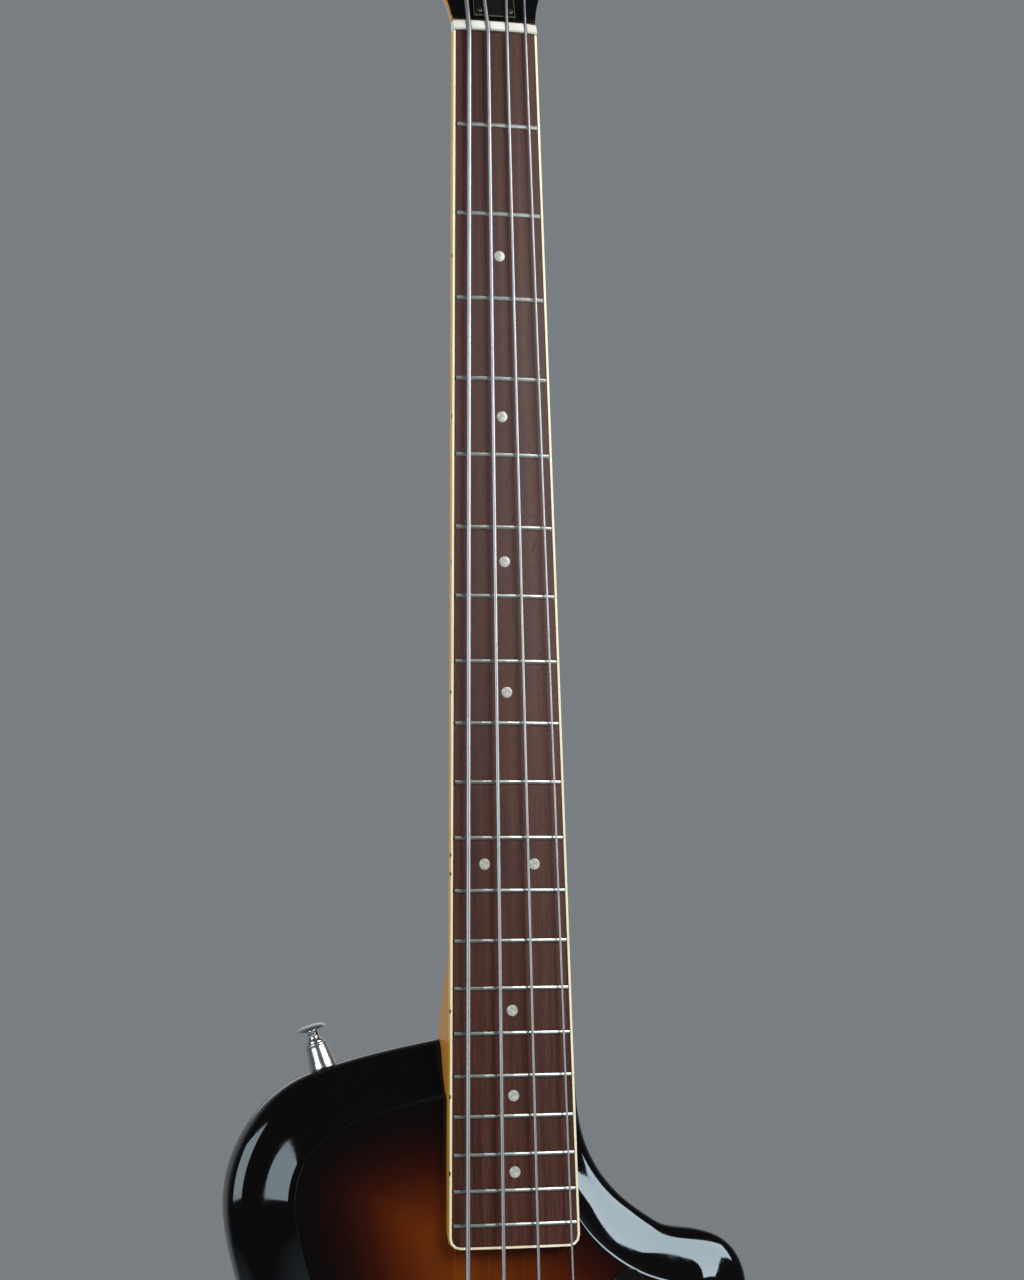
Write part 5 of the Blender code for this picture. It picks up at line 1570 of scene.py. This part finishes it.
@dataclass(frozen=True)
class Screw:
    """Domed screw head with a cross recess."""

    radius: float
    height: float
    dome: float = 0.6

    def solid(self) -> Solid:
        """Head about local Z, standing on its local origin.

        Returns:
            The head as a bmesh.
        """
        profile = [(self.radius, 0.0), (self.radius, self.height * (1 - self.dome))]
        for degrees in range(15, 91, 15):
            turn = math.radians(degrees)
            rise = self.height * (1 - self.dome + self.dome * math.sin(turn))
            profile.append((max(self.radius * math.cos(turn), self.radius * 0.06), rise))
        return lathe(profile, 32)

    def recess(self) -> list[Placed]:
        """Cutters of the cross.

        Returns:
            Two blades with their places.
        """
        reach = self.radius * 0.62
        blade = rounded_rectangle(self.radius * 0.13, -reach, reach, self.radius * 0.05, 1)
        levels = ((self.height * 0.35, self.radius * 0.04), (self.height + 0.001, 0))
        return [(slab(blade, levels), Matrix.Rotation(math.radians(turn), 4, "Z")) for turn in (0, 90)]

    def place(self, name: str, finish: Finish, frame: Matrix, turn: float) -> None:
        """Makes the screw at a frame whose local Z leaves the surface.

        Args:
            name: name of the piece.
            finish: its surface.
            frame: place of its foot.
            turn: angle in degrees that its cross is turned by.
        """
        piece = Piece(name, self.solid(), finish).combine(Change.CUT, self.recess())
        piece.at(frame @ Matrix.Rotation(math.radians(turn), 4, "Z")).done()

    def row(self, name: str, finish: Finish, frames: Sequence[Matrix], turns: Sequence[float]) -> None:
        """Makes one screw at each frame, numbered from 0, with its own turn.

        Args:
            name: name of the pieces before their number.
            finish: their surface.
            frames: places of their feet.
            turns: angles in degrees of their crosses.
        """
        for index, (frame, turn) in enumerate(zip(frames, turns)):
            self.place(f"{name}_{index}", finish, frame, turn)


# Cover and tuners


@dataclass(frozen=True)
class CoverScrews:
    """Three screws of the cover over the rod."""

    places: tuple[Pair, ...] = ((-0.0078, 0.0056), (0.0078, 0.0056), (0.0, 0.0420))
    turns: tuple[float, ...] = (20, 55, 50)
    cover_top: float = 0.0023
    screw: Screw = Screw(0.0017, 0.0006)

    def build(self) -> None:
        """Sets the screws on the cover."""
        frames = [head_frame() @ Matrix.Translation((*place, self.cover_top)) for place in self.places]
        self.screw.row("cover_screw", DARK_STEEL, frames, self.turns)


@dataclass(frozen=True)
class Tuner:
    """One open-gear tuner."""

    name: str
    across: float
    up: float
    side: int
    plate_back: float = -0.0178
    wheel_middle: float = -0.0220
    wheel_half: float = 0.0020
    wheel_radius: float = 0.0100
    wheel_tip: float = 0.0108
    wheel_root: float = 0.0089
    worm_radius: float = 0.0032
    worm_tip: float = 0.0039
    worm_core: float = 0.0020
    worm_length: float = 0.0125
    worm_sides: int = 40
    worm_steps: int = 44
    ridge_half: float = 0.28
    worm_foot: tuple[Pair, ...] = ((-0.0112, 0.0018), (-0.0109, 0.0022), (-0.00685, 0.0022))
    teeth: int = 20
    blade_foot: float = 0.0340
    blade_radius: float = 0.0134
    lobe: float = 0.14
    hub: Pair = (0.0061, 0.00205)
    plate_gap: float = 0.0003
    collar: Pair = (0.0064, 0.00475)
    post_foot: tuple[Pair, ...] = (
        (0.0022, -0.0030), (0.0052, -0.0028), (0.0060, -0.0021), (0.0060, 0.0022), (0.0064, 0.0026),
    )
    post_head: tuple[Pair, ...] = (
        (0.00475, 0.0045), (0.0044, 0.0048), (0.0040, 0.0056), (0.0040, 0.0140), (0.0044, 0.0147),
        (0.00475, 0.0151), (0.00475, 0.0170), (0.0045, 0.0176), (0.0040, 0.0179), (0.0032, 0.0180),
    )
    slot: tuple[float, ...] = (0.0013, -0.009, 0.009, 0.0004)
    slot_levels: Pair = (0.0110, 0.0220)
    screw: Screw = Screw(0.0017, 0.0011)
    tooth: tuple[Pair, ...] = (
        (0.0, 0.0), (0.27, 0.0), (0.33, 0.35), (0.39, 0.8), (0.44, 1.0),
        (0.56, 1.0), (0.61, 0.8), (0.67, 0.35), (0.73, 0.0),
    )
    bush: tuple[Pair, ...] = (
        (0.0051, 0.0002), (0.0078, 0.0002), (0.0078, 0.0010), (0.0070, 0.0018), (0.0056, 0.0021),
        (0.0051, 0.0020),
    )
    blade_rim: tuple[Pair, ...] = ((0.0016, 0.0014), (0.00145, 0.0007), (0.0011, 0.0002), (0.0006, 0.0))
    shaft: tuple[Pair, ...] = (
        (0.00685, 0.0022), (0.0160, 0.0022), (0.0172, 0.0026), (0.0184, 0.0034), (0.0192, 0.0036),
        (0.0208, 0.0036), (0.0216, 0.0033), (0.0226, 0.0024), (0.0240, 0.0021), (0.0340, 0.0014),
    )
    screws: tuple[Pair, ...] = ((-0.0098, 0.0122), (0.0098, 0.0122), (-0.0098, -0.0232), (0.0098, -0.0232))

    @property
    def pitch(self) -> float:
        """Advance of the thread in one turn."""
        return 2 * math.pi * self.wheel_radius / self.teeth

    def frame(self) -> Matrix:
        """Matrix of the post on the headstock's face."""
        return head_frame() @ Matrix.Translation((self.across, self.up, 0))

    def worm_frame(self) -> Matrix:
        """Matrix of the worm: local Z out along its key.

        Returns:
            The matrix in the model's frame.
        """
        turn = Matrix(((0, 0, self.side), (1, 0, 0), (0, self.side, 0))).to_4x4()
        drop = self.wheel_radius + self.worm_radius
        return self.frame() @ Matrix.Translation((0, -drop, self.wheel_middle)) @ turn

    def wheel(self) -> Solid:
        """Toothed wheel with rounded slanted teeth.

        Returns:
            The wheel in the frame of its post.
        """
        slant = self.pitch / (2 * math.pi * self.worm_radius) / self.wheel_radius
        rings = []
        for share, taper in ((-1.0, 0.0004), (-0.85, 0.0), (0.0, 0.0), (0.85, 0.0), (1.0, 0.0004)):
            offset = share * self.wheel_half
            ring = []
            for number in range(self.teeth):
                for place, rise in self.tooth:
                    angle = 2 * math.pi * (number + place) / self.teeth - math.pi / 2 + slant * offset
                    radius = self.wheel_root + (self.wheel_tip - self.wheel_root) * rise - taper
                    ring.append(polar(radius, angle, self.wheel_middle + offset))
            rings.append(ring)
        return loft(rings)

    def post(self) -> Solid:
        """String post with its collar and wheel's hub.

        Returns:
            The post as a bmesh.
        """
        plate = self.plate_back - self.plate_gap
        foot = [(radius, self.wheel_middle + rise) for radius, rise in self.post_foot]
        collar = [(radius, plate) for radius in self.collar]
        return lathe((*foot, *collar, *self.post_head))

    def key(self) -> Solid:
        """Worm with its thread and the shaft up to the blade.

        Returns:
            The worm and shaft as a bmesh.
        """
        turns, count = round_turn(self.worm_sides), self.worm_steps
        thread = [(self.worm_length * (index / count - 0.5), None) for index in range(count + 1)]
        rings = []
        for along, fixed in (*self.worm_foot, *thread, *self.shaft):
            rings.append([polar(fixed or self.thread(along, turn), turn, along) for turn in turns])
        return loft(rings)

    def thread(self, along: float, angle: float) -> float:
        """Radius of the worm at a place along and round it.

        Args:
            along: place along the worm.
            angle: turn round it.

        Returns:
            The radius.
        """
        phase = (along / self.pitch - angle / (2 * math.pi) + 0.5) % 1 - 0.5
        ridge = max(1 - (abs(phase) / self.ridge_half) ** 2, 0.0)
        run_out = min(max((self.worm_length / 2 - abs(along)) / (self.pitch / 2), 0.0), 1.0)
        return self.worm_core + (self.worm_tip - self.worm_core) * ridge * run_out

    def blade(self) -> Solid:
        """Lobed blade of the key with a rounded rim.

        Returns:
            The blade as a bmesh.
        """
        outline = []
        for angle in reversed(round_turn(72)):
            radius = self.blade_radius * (1 + self.lobe * math.cos(3 * angle))
            outline.append(Vector((radius * math.sin(angle), radius * math.cos(angle))))
        low = [(-height, amount) for height, amount in self.blade_rim]
        return slab(outline, low + list(reversed(self.blade_rim)))

    def build(self) -> None:
        """Makes the moving pieces, the bush and the screws."""
        post = Piece("post_and_wheel_" + self.name, self.post(), CHROME)
        post.combine(Change.JOIN, [(self.wheel(), Matrix())])
        slot = slab(rounded_rectangle(*self.slot, 2), [(height, 0) for height in self.slot_levels])
        post.combine(Change.CUT, [(slot, Matrix())])
        self.brass_wheel(post.item.data)
        post.at(self.frame()).done("post_" + self.name, ["tuner_post_" + self.name])
        key = Piece("key_and_worm_" + self.name, self.key(), CHROME)
        turn = Matrix(((1, 0, 0), (0, 0, -1), (0, 1, 0))).to_4x4()
        key.combine(Change.JOIN, [(self.blade(), Matrix.Translation((0, 0, self.blade_foot)) @ turn)])
        key.at(self.worm_frame()).done("key_" + self.name, ["tuner_key_" + self.name])
        Piece("bush_" + self.name, lathe(self.bush, closed=True), CHROME, self.frame()).done()
        flip = Matrix.Rotation(math.pi, 4, "X")
        places = [Matrix.Translation((*place, self.plate_back)) for place in self.screws]
        frames = [self.frame() @ place @ flip for place in places]
        self.screw.row("tuner_screw_" + self.name, CHROME, frames, range(0, 100, 25))

    def brass_wheel(self, mesh: bpy.types.Mesh) -> None:
        """Gives the wheel's teeth their brass.

        Args:
            mesh: mesh of the post and wheel.
        """
        mesh.materials.append(BRASS.material())
        radius, rise = self.hub
        for face in mesh.polygons:
            spot = face.center
            if spot.z < self.wheel_middle + rise and math.hypot(spot.x, spot.y) > radius:
                face.material_index = 1


TUNERS = (
    Tuner("e", -0.0220, 0.0600, -1),
    Tuner("a", -0.0165, 0.1300, -1),
    Tuner("d", 0.0165, 0.1300, 1),
    Tuner("g", 0.0220, 0.0600, 1),
)


# Bridge, controls and hardware


@dataclass(frozen=True)
class Bridge:
    """Saddles, intonation screws, springs and the plate's screws."""

    saddle_radius: float = 0.0040
    saddle_half: float = 0.0090
    rings: int = 30
    ring_depth: float = 0.00022
    barrel_edge: float = 0.0006
    barrel_rim: float = 0.0001
    barrel_land: float = 0.0008
    barrel_bore: float = 0.0019
    cutter_reach: float = 0.008
    groove_play: float = 0.0003
    string_sink: float = 0.0008
    screw_depth: float = 0.0008
    grub_across: float = 0.0062
    grub_radius: float = 0.0015
    grub_ends: Pair = (0.0010, 0.0012)
    grub_edge: float = 0.0004
    grub_key: Triple = (0.0007, 0.0010, 0.002)
    screw_past: float = 0.0125
    screw_radius: float = 0.00125
    thread_depth: float = 0.0001
    screw_steps: int = 60
    screw_end: tuple[Pair, ...] = (
        (0.00125, -0.0012), (0.0028, -0.0024), (0.0029, -0.0030), (0.0024, -0.0042),
    )
    screw_tip: Pair = (0.0004, -0.0046)
    screw_far_end: tuple[Pair, ...] = ((0.0004, 0.0006), (0.0010, 0.0))
    screw_slot: tuple[float, ...] = (0.0003, -0.0018, 0.0018, 0.0001)
    screw_slot_levels: Pair = (-0.0060, -0.0036)
    spring_turns: int = 9
    spring_radius: float = 0.00215
    wire_radius: float = 0.00026
    spring_steps: int = 20
    spring_gap: float = 0.0004
    wire_gap: float = 0.0003
    plate_screw: Screw = Screw(0.0026, 0.0012)
    plate_screw_inset: float = 0.0045
    plate_screws: tuple[float, ...] = (-0.0340, -0.0150, 0.0015, 0.0180, 0.0370)

    def middle(self, string: StringSizes) -> Vector:
        """Middle of a string's saddle."""
        drop = string.diameter / 2 + self.groove_play - self.string_sink + self.saddle_radius
        return string.at(1) + Vector((0, drop, 0))

    def barrel(self, string: StringSizes) -> None:
        """Turned saddle with fine rings, its string groove and its bore.

        Args:
            string: sizes of its string.
        """
        half, radius, reach = self.saddle_half, self.saddle_radius, self.cutter_reach
        edge, rim, land = self.barrel_edge, self.barrel_rim, self.barrel_land
        profile = [(radius - edge, -half), (radius - rim, -half + edge)]
        for index in range(1, 2 * self.rings):
            along = -half + land + (2 * half - 2 * land) * index / (2 * self.rings)
            profile.append((radius - (self.ring_depth if index % 2 else 0.0), along))
        profile += [(radius - rim, half - edge), (radius - edge, half)]
        groove_radius = string.diameter / 2 + self.groove_play
        groove = lathe(((groove_radius, -reach), (groove_radius, reach)), 32)
        bore = lathe(((self.barrel_bore, -reach), (self.barrel_bore, reach)), 24)
        middle = self.middle(string)
        across = Matrix.Rotation(math.pi / 2, 4, "Y")
        piece = Piece("saddle_barrel_" + string.name, lathe(profile, 56), CHROME, across)
        grooved = [
            (groove, Matrix.Translation(string.at(1) - middle)),
            (bore, Matrix.Translation((0, self.screw_depth, 0))),
        ]
        piece.combine(Change.CUT, grooved).at(Matrix.Translation(middle) @ across)
        piece.done("saddle_" + string.name, ["saddle_" + string.name], sharp=25)

    def height_screws(self, string: StringSizes) -> None:
        """Two grub screws that the saddle stands on.

        Args:
            string: sizes of its string.
        """
        radius, middle = self.saddle_radius, self.middle(string)
        low = middle.y - (SIZES.bridge_top - SIZES.axis_depth - SIZES.gap)
        grub, edge = self.grub_radius, self.grub_edge
        foot, top = self.grub_ends
        key, sunk, clear = self.grub_key
        profile = ((foot, low), (grub, low + edge), (grub, radius + edge), (top, radius + 2 * edge))
        for side in (-1, 1):
            socket = lathe(((key, radius - sunk), (key, radius + clear)), 6)
            screw = Piece(f"height_screw_{string.name}_{side + 1}", lathe(profile, 28), STEEL)
            screw.combine(Change.CUT, [(socket, Matrix())])
            place = middle + Vector((side * self.grub_across, 0, 0))
            screw.at(frame_along(place, (0, -1, 0), (1, 0, 0))).done("saddle_" + string.name)

    def intonation_screw(self, string: StringSizes) -> None:
        """Screw from the plate's wall through the saddle.

        Args:
            string: sizes of its string.
        """
        middle = self.middle(string)
        wall = SIZES.nut_height - SIZES.bridge_back
        length = middle.z - wall + self.screw_past
        profile = [(radius, length + past) for radius, past in self.screw_far_end]
        for index in range(self.screw_steps):
            radius = self.screw_radius - self.thread_depth * (index % 2)
            profile.append((radius, length * (1 - index / self.screw_steps)))
        solid = lathe((*profile, *self.screw_end, self.screw_tip), 24)
        rod = Piece("intonation_screw_" + string.name, solid, STEEL)
        blade = rounded_rectangle(*self.screw_slot, 1)
        levels = [(height, 0) for height in self.screw_slot_levels]
        turns = (Matrix(), Matrix.Rotation(math.pi / 2, 4, "Z"))
        rod.combine(Change.CUT, [(slab(blade, levels), turn) for turn in turns])
        rod.at(frame_along((middle.x, middle.y + self.screw_depth, wall), (0, 0, 1), (1, 0, 0))).done()

    def spring(self, string: StringSizes) -> None:
        """Spring between the plate's wall and the saddle.

        Args:
            string: sizes of its string.
        """
        middle = self.middle(string)
        y = middle.y + self.screw_depth
        start = SIZES.nut_height - SIZES.bridge_back + SIZES.bridge_thickness + self.spring_gap
        end = middle.z - self.saddle_radius - self.spring_gap
        route = []
        count = self.spring_turns * self.spring_steps
        for index in range(count + 1):
            angle = 2 * math.pi * self.spring_turns * index / count
            across = middle.x + self.spring_radius * math.cos(angle)
            height = start + self.wire_gap + (end - start - 2 * self.wire_gap) * (index / count)
            route.append(Vector((across, y + self.spring_radius * math.sin(angle), height)))
        solid = tube(route, self.wire_radius, 8, (route[1] - route[0]).orthogonal().normalized())
        spring = Piece("spring_" + string.name, solid, STEEL).item
        spring.data.shade_smooth()
        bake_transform(spring)
        LOG.info("%s: %d faces, blended", spring.name, len(spring.data.polygons))

    def build(self) -> None:
        """Makes everything on the bridge."""
        for string in STRINGS:
            self.barrel(string)
            self.height_screws(string)
            self.intonation_screw(string)
            self.spring(string)
        back = SIZES.bridge_back - self.plate_screw_inset
        frames = [front_frame(across, back, SIZES.bridge_top) for across in self.plate_screws]
        self.plate_screw.row("bridge_screw", CHROME, frames, range(0, 155, 31))


@dataclass(frozen=True)
class Controls:
    """Knobs, output socket and the guard's screws."""

    guard_screws: tuple[Pair, ...] = (
        (0.0560, 0.6250), (-0.0470, 0.7080), (0.0010, 0.6790), (-0.0350, 0.8250), (0.0200, 0.8400),
        (0.0560, 0.8520), (0.1240, 0.8500), (0.0980, 0.8860), (0.1040, 0.7780), (0.0620, 0.7000),
    )
    guard_face: float = -(SIZES.guard_top - 0.0003)
    knob_foot: tuple[Triple, ...] = (
        (0.0088, 0.0, 0.0), (0.0095, 0.0006, 0.0), (0.0095, 0.0026, 0.0), (0.0089, 0.0031, 0.0),
        (0.0087, 0.0036, 0.0), (0.0087, 0.0042, 0.00022),
    )
    knob_head: tuple[Triple, ...] = (
        (0.0086, -0.0026, 0.00022), (0.0085, -0.0021, 0.0), (0.0083, -0.0012, 0.0), (0.0077, -0.0004, 0.0),
        (0.0066, -0.00003, 0.0), (0.0004, -0.00003, 0.0),
    )
    knurls: int = 48
    washer_height: float = 0.0022
    knob_gap: float = 0.0006
    knob_height: float = 0.0160
    stem_radius: float = 0.0030
    stem_depth: float = 0.0057
    mark: tuple[float, ...] = (0.0004, 0.0030, 0.0064, 0.0002)
    mark_depths: Pair = (0.0002, 0.00001)
    socket_rise: float = 0.0026
    socket_length: float = 0.0230
    socket_bore: float = 0.0033
    socket_radius: float = 0.0048
    socket_rim: tuple[Pair, ...] = (
        (0.0048, -0.0003), (0.0045, 0.0), (0.0036, 0.0), (0.0033, -0.0004),
    )
    flange_radius: float = 0.0075
    flange_height: float = 0.0030
    nut_profile: tuple[Pair, ...] = ((0.0073, 0.0), (0.0075, 0.0002), (0.0075, 0.0013), (0.0070, 0.0016))
    nut_bore: float = 0.00482
    screw: Screw = Screw(0.0023, 0.0010)

    def knob(self, name: str, place: Pair) -> None:
        """Domed metal knob with a knurled side and a pointer line.

        Args:
            name: name of the control.
            place: distances across and from the nut.
        """
        washer = self.guard_face + self.washer_height
        low = washer + self.knob_gap
        top = low + self.knob_height
        profile = [(self.stem_radius, height, 0.0) for height in (washer - self.stem_depth, low)]
        profile += [(radius, low + height, knurl) for radius, height, knurl in self.knob_foot]
        profile += [(radius, top + height, knurl) for radius, height, knurl in self.knob_head]
        rings = []
        for radius, height, knurl in profile:
            ring = []
            for index, turn in enumerate(round_turn(3 * self.knurls)):
                reach = radius - (knurl if index % 3 == 0 else 0.0)
                ring.append(polar(reach, turn, height))
            rings.append(ring)
        frame = front_frame(*place, 0)
        body = name + "_knob"
        Piece(body + "_turned", loft(rings), CHROME, frame).done(body, [body], sharp=30)
        mark = slab(rounded_rectangle(*self.mark, 2), [(top - depth, 0) for depth in self.mark_depths])
        Piece(body + "_mark", mark, SIDE_DOT, frame).done(body)

    def socket(self) -> None:
        """Output socket: open barrel with a round rim and a hexagonal nut."""
        low, under = self.guard_face, -SIZES.top_depth
        top = low + self.socket_rise
        foot, flange = top - self.socket_length, under - self.flange_height
        thin, wide = self.socket_radius, self.flange_radius
        profile = [(self.socket_bore, foot), (thin, foot), (thin, flange), (wide, flange), (wide, under)]
        profile += [(thin, under), (thin, low + self.nut_profile[-1][1])]
        profile += [(radius, top + rise) for radius, rise in self.socket_rim]
        barrel = lathe(profile, closed=True)
        frame = front_frame(*SIZES.jack, 0)
        Piece("socket_barrel", barrel, CHROME, frame).done(replaces=["output_jack"])
        profile = [(radius, low + rise) for radius, rise in self.nut_profile]
        nut = Piece("socket_nut", lathe(profile, 6), CHROME)
        bore = lathe(((self.nut_bore, low - 0.001), (self.nut_bore, low + 0.003)))
        nut.combine(Change.CUT, [(bore, Matrix())])
        nut.at(frame).done(sharp=20)

    def build(self) -> None:
        """Makes the controls."""
        self.knob("volume", SIZES.volume)
        self.knob("tone", SIZES.tone)
        self.socket()
        frames = [front_frame(*place, SIZES.guard_top) for place in self.guard_screws]
        self.screw.row("guard_screw", CHROME, frames, range(0, 370, 37))


@dataclass(frozen=True)
class StrapButtons:
    """Both strap buttons, the tall spacer and the neck plate's bolts."""

    button_profile: tuple[Pair, ...] = (
        (0.0044, 0.0), (0.0044, 0.0005), (0.0040, 0.0009), (0.0034, 0.0013), (0.0030, 0.0019),
        (0.0027, 0.0027), (0.0028, 0.0034), (0.0031, 0.0041), (0.0038, 0.0048), (0.0050, 0.0054),
        (0.0062, 0.0058), (0.0071, 0.0062), (0.0076, 0.0065), (0.0077, 0.0067), (0.0074, 0.0070),
        (0.0067, 0.0076), (0.0057, 0.0081), (0.0046, 0.0084), (0.0034, 0.0086), (0.0031, 0.0083),
        (0.0002, 0.0083),
    )
    screw_seat: float = 0.0083
    lower_seat: float = 0.0090
    spacer_profile: tuple[Pair, ...] = (
        (0.00675, 0.0), (0.00675, 0.0004), (0.0066, 0.0007), (0.00625, 0.0030), (0.0057, 0.0070),
        (0.0053, 0.0100), (0.0051, 0.0112), (0.0052, 0.0115), (0.0052, 0.0119), (0.0050, 0.0122),
        (0.0046, 0.0123),
    )
    shoulder_out: Triple = (-0.298335, 0.0, 0.9544612)
    shoulder_end: Triple = (-0.0933287, 0.0, 0.4613045)
    shoulder_length: float = 0.0216
    spacer_length: float = 0.0126
    screw: Screw = Screw(0.0030, 0.00065, 0.7)
    bolt: Screw = Screw(0.0042, 0.0018, 0.75)
    bolt_seat: float = 0.0019
    bolts: tuple[Pair, ...] = ((-0.019, -0.025), (0.019, -0.025), (-0.019, 0.025), (0.019, 0.025))

    def button(self, name: str, frame: Matrix, node: str, turn: float) -> None:
        """One button with the cross-headed screw in its end.

        Args:
            name: name of the piece.
            frame: place of its foot.
            node: CAD node it stands for.
            turn: angle in degrees of its screw's cross.
        """
        Piece(name, lathe(self.button_profile, 64), CHROME, frame).done(replaces=[node], sharp=50)
        seat = frame @ Matrix.Translation((0, 0, self.screw_seat))
        self.screw.place(name + "_screw", CHROME, seat, turn)

    def build(self) -> None:
        """Makes the buttons, the spacer and the bolts."""
        lower = frame_along((0, 0, self.lower_seat), (0, 0, -1), (1, 0, 0))
        self.button("lower_button", lower, "end_strap_button", 20)
        foot = Vector(self.shoulder_end) - Vector(self.shoulder_out) * self.shoulder_length
        frame = frame_along(foot, self.shoulder_out, (0, 1, 0))
        spacer = Piece("tapered_spacer", lathe(self.spacer_profile, 64), SOFT_CHROME, frame)
        spacer.done(replaces=["upper_strap_spacer"], sharp=50)
        above = frame @ Matrix.Translation((0, 0, self.spacer_length))
        self.button("shoulder_button", above, "upper_strap_button", 60)
        frames = []
        for across, along in self.bolts:
            spot = point(across, SIZES.neck_plate + along, SIZES.back_depth + self.bolt_seat)
            frames.append(frame_along(spot, (0, 1, 0), (1, 0, 0)))
        self.bolt.row("neck_bolt", CHROME, frames, range(0, 92, 23))


# CAD pieces that stay


@dataclass(frozen=True)
class Dressing:
    """Materials for the CAD pieces that stay as they are."""

    nodes: dict[str, bpy.types.Object]
    plain: tuple[tuple[str, Finish], ...] = (
        ("fingerboard", ROSEWOOD),
        ("board_binding", BINDING),
        ("nut", BONE),
        ("truss_rod", STEEL),
        ("truss_rod_cover", COVER_LAMINATE),
        ("pickguard", BLACK_PLASTIC),
        ("pickup_bass_half", PICKUP_COVER),
        ("pickup_treble_half", PICKUP_COVER),
        ("volume_pot", BRASS),
        ("tone_pot", BRASS),
    )
    bevels: tuple[tuple[str, float], ...] = (
        ("nut", 0.0003),
        ("bridge_plate", 0.0004),
        ("neck_plate", 0.0003),
        ("pickup_bass_half", 0.0005),
        ("pickup_treble_half", 0.0005),
        *((f"tuner_plate_{name}", 0.0003) for name in "eadg"),
    )

    def finish_of(self, name: str) -> Finish:
        """Finish of a CAD piece."""
        return dict(self.plain).get(name, NICKEL if name.startswith("fret_") else CHROME)

    def build(self) -> None:
        """Dresses every CAD piece that is still shown."""
        bevels = dict(self.bevels)
        for name, item in self.nodes.items():
            item.data.materials.clear()
            item.data.materials.append(self.finish_of(name).material())
            item.data.shade_smooth()
            item.data.set_sharp_from_angle(angle=math.radians(35))
            if name == "board_binding":
                # Painted reflection: the binding's sides, which face away from the front, turn amber
                self.paint_side_reflection(item.data)
            if name in bevels:
                change = item.modifiers.new("edges", "BEVEL")
                change.width = bevels[name]
                change.segments = 2
                change.limit_method = "ANGLE"
                change.angle_limit = math.radians(45)

    def paint_side_reflection(self, mesh: bpy.types.Mesh) -> None:
        """Gives the binding's sides their amber: painted reflection of the sunburst, with the tint of the
        lacquer over them.

        Args:
            mesh: mesh of the binding.
        """
        mesh.materials.append(BINDING_SIDE_REFLECTION.material())
        for face in mesh.polygons:
            face.material_index = int(face.normal.y > -0.5)


def main() -> None:
    """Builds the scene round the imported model."""
    logging.basicConfig(level=logging.INFO, format="%(message)s")
    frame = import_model()
    Studio().build()
    Dressing(frame["nodes"]).build()
    front = (Body(), Neck(), Board(), StringSet(), CoverScrews(), *TUNERS)
    for group in (*front, Bridge(), Controls(), StrapButtons()):
        group.build()


if __name__ == "__main__":
    main()
